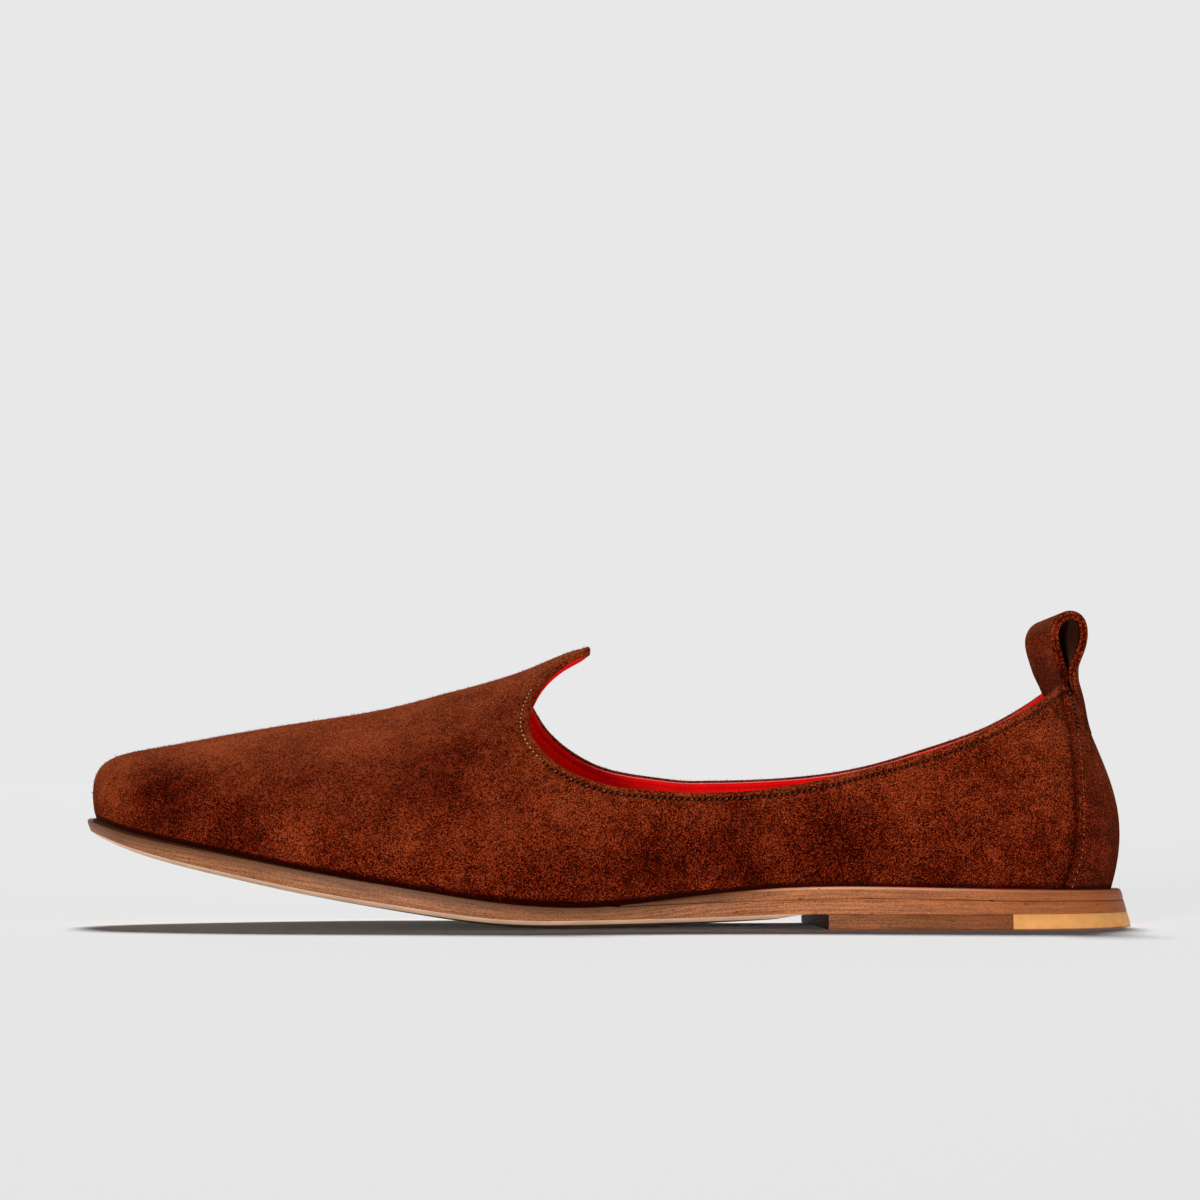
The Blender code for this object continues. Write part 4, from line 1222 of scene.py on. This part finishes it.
def strap_rows(places):
    """The strap's middle, as rows of points at these places across it, and its thickness at each row.

    The rows run up the outer leg, round the loop and down inside.
    """
    outside, inside = LOOP_LEGS
    legs_top = BACK_HEIGHT - 1.5
    loop = np.array(LOOP)
    run = run_of(loop)
    fine = spline(run, loop)(np.linspace(0, run[-1], LOOP_ROWS))
    low, high = loop[0, 1], loop[:, 1].max()
    pivot_x = loop[:, 0].mean()
    pivot_y = back_slice(BACK_HEIGHT, outside, [0.0])[0, 1]
    bow = back_slice(BACK_HEIGHT, outside, places) - back_slice(BACK_HEIGHT, outside, [0.0])
    bow[:, 1] -= places
    bow[:, 2] = 0
    heights = np.linspace(LOOP_TAB_END, legs_top, LEG_ROWS)
    rows = [back_slice(z, 0.8 + 1.5 * ease(54, 67, z), places) for z in heights]
    thick = [1.2 + 0.4 * ease(58, 67, z) for z in heights]
    for i, (x, z) in enumerate(fine):
        share = np.clip((z - low) / (high - low), 0.0, 1.0)
        inner_leg = i >= LOOP_ROWS // 2
        yaw = LOOP_YAW * (1.0 if inner_leg else ease(0, 0.7, share))
        flat_x = pivot_x + (x - pivot_x) * math.cos(yaw) - places * math.sin(yaw)
        flat_y = pivot_y + places * math.cos(yaw) + (x - pivot_x) * math.sin(yaw)
        flat = columns(flat_x, flat_y, z - places * LOOP_LEAN * share)
        rows.append(flat + bow * (0.0 if inner_leg else ease(0.6, 0, share)))
        thick.append(1.6 + 1.1 * ease(0, 0.25, share))
    for z in np.linspace(legs_top, LOOP_TAIL_END, TAIL_ROWS):
        rows.append(back_slice(z, inside, places))
        thick.append(1.3)
    rows = np.array(rows)
    for _ in range(8):  # smooth the bends
        rows[1:-1] = (rows[:-2] + 2 * rows[1:-1] + rows[2:]) / 4
    return rows, np.array(thick)


class SHOE_OT_pull_loop(bpy.types.Operator):
    """Build the folded suede pull loop"""

    bl_idname = "shoe.pull_loop"
    bl_label = "Pull loop"

    def execute(self, context):
        places = np.linspace(-1, 1, 25) * LOOP_WIDTH / 2
        wide = len(places)
        rows, thick = strap_rows(places)
        half = thick[:, None] / 2
        around = unit(np.gradient(rows, axis=1))
        normal = unit(np.cross(np.gradient(rows, axis=1), np.gradient(rows, axis=0)))
        edges = []
        for end, sign in ((-1, 1), (0, -1)):
            for across, out in ((0.8, 0.3), (0.35, 0.42), (0.0, -0.05), (-0.35, 0.42), (-0.8, 0.3)):
                edges.append(rows[:, end] + normal[:, end] * half * across + around[:, end] * sign * out)
        right, left = np.stack(edges[:5], axis=1), np.stack(edges[:4:-1], axis=1)
        face, back = rows + normal * half[..., None], rows - normal * half[..., None]
        loops = np.concatenate([face, right, back[:, ::-1], left], axis=1)
        count, size = loops.shape[:2]

        seam = np.zeros((count, size))
        seam[:, [wide + 2, size - 3]] = 1
        number = (np.arange(count) - LEG_ROWS)[:, None]  # of a row, from the loop's first
        looped = (number >= 0) & (number < LOOP_ROWS)
        hidden = np.zeros(size)
        hidden[size // 2 : size // 2 + wide] = 1  # the face that looks into the loop
        height = loops[..., 2]
        leg = (number >= LOOP_ROWS // 2) * ease(80, 70, height)
        # Painted shade: near black on the face that looks into the loop, darker down the inner leg, and in
        # the groove along the middle of each strap edge, deeper low down.
        painted_shade = 6.0 * hidden * looped + 1.7 * leg * (1 - hidden)
        painted_shade += seam * (1.6 + 1.2 * ease(69, 64, height))
        points = loops.reshape(-1, 3)
        nap = nap_and_shading_at(points) - 0.8 - painted_shade.ravel()
        faces = tube_faces(count, size, capped=True)
        add_piece("pull_strap", "pull_loop", "suede", points, faces, suede_material(), nap=nap, angle=60)
        return {"FINISHED"}


# ---------------------------------------------------------------- sole and heel


def outline(count, front=None):
    """Places t round the sole, or round its part behind x = front, alike in x on both sides."""
    outer = (TOE_T if front is None else foot_t(-1, front)) * crowded(count)
    inner = np.array([foot_t(1, x) for x in at(outer)["x"]])
    return np.concatenate([outer, inner[::-1][1 if front is None else 0 : -1]])


def sole_rings(t, levels):
    """Rings round the sole's edge, each a height and how far it stands in."""
    row = at(t)
    return [edge_ring(t, sole_margin(row, height) - inset, height) for height, inset in levels]


def plate(rings, underside=()):
    """Points and faces of a plate: rings round its edge from top to bottom, spanned across.

    underside gives the heights of the underside at shares of the half breadth; without it the plate is flat.
    """
    underside = dict(underside)
    size = len(rings[0])
    points = list(np.concatenate(rings))
    faces = tube_faces(len(rings), size)
    shares = sorted({sign * share for share in underside for sign in (-1, 1)})
    for base, inner_shares in ((0, []), ((len(rings) - 1) * size, shares)):
        lines = []
        for i in range(size // 2 + 1):
            a, b = base + i, base + (size - i) % size
            line = [a]
            for share in inner_shares:
                point = (points[a] + points[b]) / 2 + (points[b] - points[a]) / 2 * share
                point[2] = underside[abs(share)][i]
                line.append(len(points))
                points.append(point)
            lines.append(line + [b])
        for one, two in zip(lines, lines[1:]):
            for k in range(len(one) - 1):
                faces.append(tuple(dict.fromkeys((one[k], two[k], two[k + 1], one[k + 1]))))
    return np.array(points), faces


def grain_values(points, t, rings):
    """Places along the edge and above its foot, in metres, for the streaks of a leather edge."""
    edge = rings * len(t)
    values = points * (1, 1, 0)
    values[:edge, 0] = np.tile(run_of(edge_ring(t, 0.0, 0.0)), rings)
    values[:edge, 1] = 0
    values[:edge, 2] = points[:edge, 2] - np.tile(at(t)["foot"], rings)
    return values * MM


class SHOE_OT_sole(bpy.types.Operator):
    """Build the leather outsole, the heel layers, the rubber tip and the insole"""

    bl_idname = "shoe.sole"
    bl_label = "Sole and heel"

    def execute(self, context):
        self.outsole()
        self.heel_seat()
        lift_back, breast, tip_front = (
            {side: foot_t(side, x) for side, x in zip((-1, 1), ends)}
            for ends in ([TIP_FRONT - 0.05] * 2, HEEL_BREAST, [TIP_FRONT + 0.1] * 2)
        )
        lift_edge = edge_material("lift_edge", 0.62)
        self.heel_block("heel_lift_leather", "heel_lift", "sole_leather", lift_back, breast, lift_edge)
        self.heel_block("heel_tip_rubber", "heel_tip", "heel_rubber", HEEL_T, tip_front, rubber_material())
        self.insole()
        return {"FINISHED"}

    def outsole(self):
        t = outline(230)
        row = at(t)
        top = row["foot"] - np.where(row["seat"] > 0.2, row["seat"] + 0.1, SEAT_GAP)
        low = underside_height(row, 1.0)
        bevel = SOLE_BEVEL * (1.0 + 0.2 * ease(-30, -65, row["x"])) * (1 - ease(*HEEL_RAMP, row["x"]))
        soft = 0.4 + 0.8 * ease(-105, -140, row["x"])  # rounding of the upper edge
        arris, side = low + bevel, top - 1.1 * soft - low - bevel
        levels = [(top, PLATE_RIM), (top, soft), (top - 0.3 * soft, 0.3 * soft)]
        levels += [(arris + side * share, 0.0) for share in (1.0, 0.66, 0.33, 0.0)]
        levels += [(low + 0.8 * bevel, 0.12 * bevel), (low + 0.15 * bevel, 0.8 * bevel), (low, 1.15 * bevel)]
        underside = {share: underside_height(row, share) for share in (0.0, 0.2, 0.4, 0.6, 0.8, 0.92)}
        points, faces = plate(sole_rings(t, levels), underside)
        ring_of = np.arange(len(faces)) // len(t)
        slots = np.where(ring_of < 6, 0, np.where(ring_of < len(levels) - 1, 1, 2))  # edge, bevel, underside
        materials = edge_material(), bevel_material(), underside_material()
        grain = grain_values(points, t, len(levels))
        names = "leather_outsole", "outsole", "sole_leather"
        add_piece(*names, points, faces, *materials, slots=slots, angle=50, grain=grain)

    def heel_seat(self):
        t = outline(150, SEAT_FRONT)
        row = at(t)
        top, low = row["foot"] - SEAT_GAP, row["foot"] - np.maximum(row["seat"], SEAT_LEAST) - 0.02
        shares = (0, PLATE_RIM), (0, 0.4), (0.15, 0.05), (0.5, -0.05), (0.85, 0.0), (1, 0.15), (1, PLATE_RIM)
        levels = [(top * (1 - share) + low * share, inset) for share, inset in shares]
        points, faces = plate(sole_rings(t, levels))
        names = "heel_seat_leather", "heel_seat", "sole_leather"
        grain = grain_values(points, t, len(levels))
        add_piece(*names, points, faces, edge_material("seat_edge", 0.95), angle=50, grain=grain)

    def heel_block(self, name, node, slot, back, front, material, count=50):
        """One of the two flat blocks under the heel, from back to front: t on each side."""
        outer, inner = (np.linspace(back[side], front[side], count) for side in (-1, 1))
        t = np.concatenate([outer, inner[::-1][: -1 if back is HEEL_T else None]])
        high = HEEL_TOP - SEAT_GAP
        levels = ((high, 0.15), (high - 0.2, 0.0), (2.0, -0.05), (0.6, 0.0), (0.15, 0.15), (0.0, 0.5))
        points = np.concatenate(sole_rings(t, levels))
        faces = tube_faces(len(levels), len(t), capped=True)
        slots = np.zeros(len(faces), dtype=int)
        slots[count - 1 : len(t) * (len(levels) - 1) : len(t)] = 1  # the front face
        # The breast, the block's front face, is a near-black copy of the edge: painted shade.
        materials = material, edge_material("breast", 0.08)
        grain = grain_values(points, t, len(levels))
        add_piece(name, node, slot, points, faces, *materials, slots=slots, angle=50, grain=grain)

    def insole(self):
        t = outline(160)
        row = at(t)
        rings = []
        top = (3.0, 5.0, 2.2), (3.0, 3.4, 2.3), (3.4, 2.7, 2.9), (3.2, 2.5, 2.8)
        for lift, inset, height in (*top, (0.2, 2.5, 0.05), (0.2, 5.0, 0.05)):
            v = lift / (3 * row["wall"] * (RIDGE_AT(row["ridge"])[:, 1] - row["foot"]))
            ring = last_point(t, v) - last_normal(t, v) * inset
            ring[:, 2] = row["foot"] + height
            rings.append(ring)
        points, faces = plate(rings)
        add_piece("insole_sock", "insole", "red_lining", points, faces, lining_material(), angle=50)


# ---------------------------------------------------------------- stage

FLOOR = 60000.0  # half breadth of the floor


def placed(name, data, direction, location=(0, 0, 0)):
    """A light or a camera in the scene that looks this way."""
    made = bpy.data.objects.new(name, data)
    made.location = location
    made.rotation_euler = Vector(direction).to_track_quat("-Z", "Y").to_euler()
    bpy.context.scene.collection.objects.link(made)
    return made


class SHOE_OT_stage(bpy.types.Operator):
    """Set up the pale floor, the soft light and the camera"""

    bl_idname = "shoe.stage"
    bl_label = "Stage"

    def execute(self, context):
        scene = context.scene
        scene.view_settings.view_transform = "Standard"
        corners = [(x * FLOOR, y * FLOOR, 0) for x, y in ((-1, -1), (1, -1), (1, 1), (-1, 1))]
        floor = add_mesh("floor", corners, [], [range(4)])
        floor.data.materials.append(Paint("floor", 0.9).finish((0.8, 0.8, 0.8)))

        scene.world = bpy.data.worlds.new("studio")
        scene.world.use_nodes = True
        sky = Nodes(scene.world.node_tree)
        place = sky.node("ShaderNodeTexCoord", output="Generated")
        glow = sky.ramp(sky.axis(place, "Z"), (0.19, (0.807, 0.807, 0.807)), (0.3, (0.015, 0.015, 0.015)))
        behind = sky.spread(sky.axis(place, "Y"), -0.2, 0.3, 0.1)  # the pale backdrop is behind the shoe
        background = sky.tree.nodes["Background"]
        sky.feed(background.inputs["Color"], glow)
        sky.feed(background.inputs["Strength"], behind)

        for name, direction, strength, angle in (
            ("top_light", (0.03, -0.7, -0.71), 3.72, 12),
            ("front_light", (0.3, 0.95, -0.05), 2.2, 7),
            ("side_light", (-0.75, 0.65, -0.04), 0.85, 7),
        ):
            light = bpy.data.lights.new(name, "SUN")
            light.energy = strength
            light.angle = math.radians(angle)
            placed(name, light, direction)

        camera = bpy.data.cameras.new("camera")
        camera.lens = 124.07
        camera.sensor_width = 36.0
        camera.clip_end = 200.0
        scene.camera = placed("camera", camera, (0.0, 1.2, 0.0523), (-0.0023, -1.2, 0.042))
        return {"FINISHED"}


OPERATORS = (
    SHOE_OT_stage,
    SHOE_OT_upper,
    SHOE_OT_stitches,
    SHOE_OT_back_strip,
    SHOE_OT_pull_loop,
    SHOE_OT_sole,
)


class SHOE_PT_build(bpy.types.Panel):
    """Lists the build steps"""

    bl_label = "Slip-on shoe"
    bl_idname = "SHOE_PT_build"
    bl_space_type = "VIEW_3D"
    bl_region_type = "UI"
    bl_category = "Shoe"

    def draw(self, context):
        for operator in OPERATORS:
            self.layout.operator(operator.bl_idname)
        for group in (context.scene.shoe_sizes, context.scene.shoe_colours):
            for key in type(group).__annotations__:
                self.layout.prop(group, key)


CLASSES = (ShoeSizes, ShoeColours, *OPERATORS, SHOE_PT_build)


def register():
    for cls in CLASSES:
        bpy.utils.register_class(cls)
    bpy.types.Scene.shoe_sizes = PointerProperty(type=ShoeSizes)
    bpy.types.Scene.shoe_colours = PointerProperty(type=ShoeColours)


def unregister():
    del bpy.types.Scene.shoe_colours
    del bpy.types.Scene.shoe_sizes
    for cls in reversed(CLASSES):
        bpy.utils.unregister_class(cls)


def main():
    register()
    for operator in OPERATORS:
        group, name = operator.bl_idname.split(".")
        getattr(getattr(bpy.ops, group), name)()


if __name__ == "__main__":
    main()
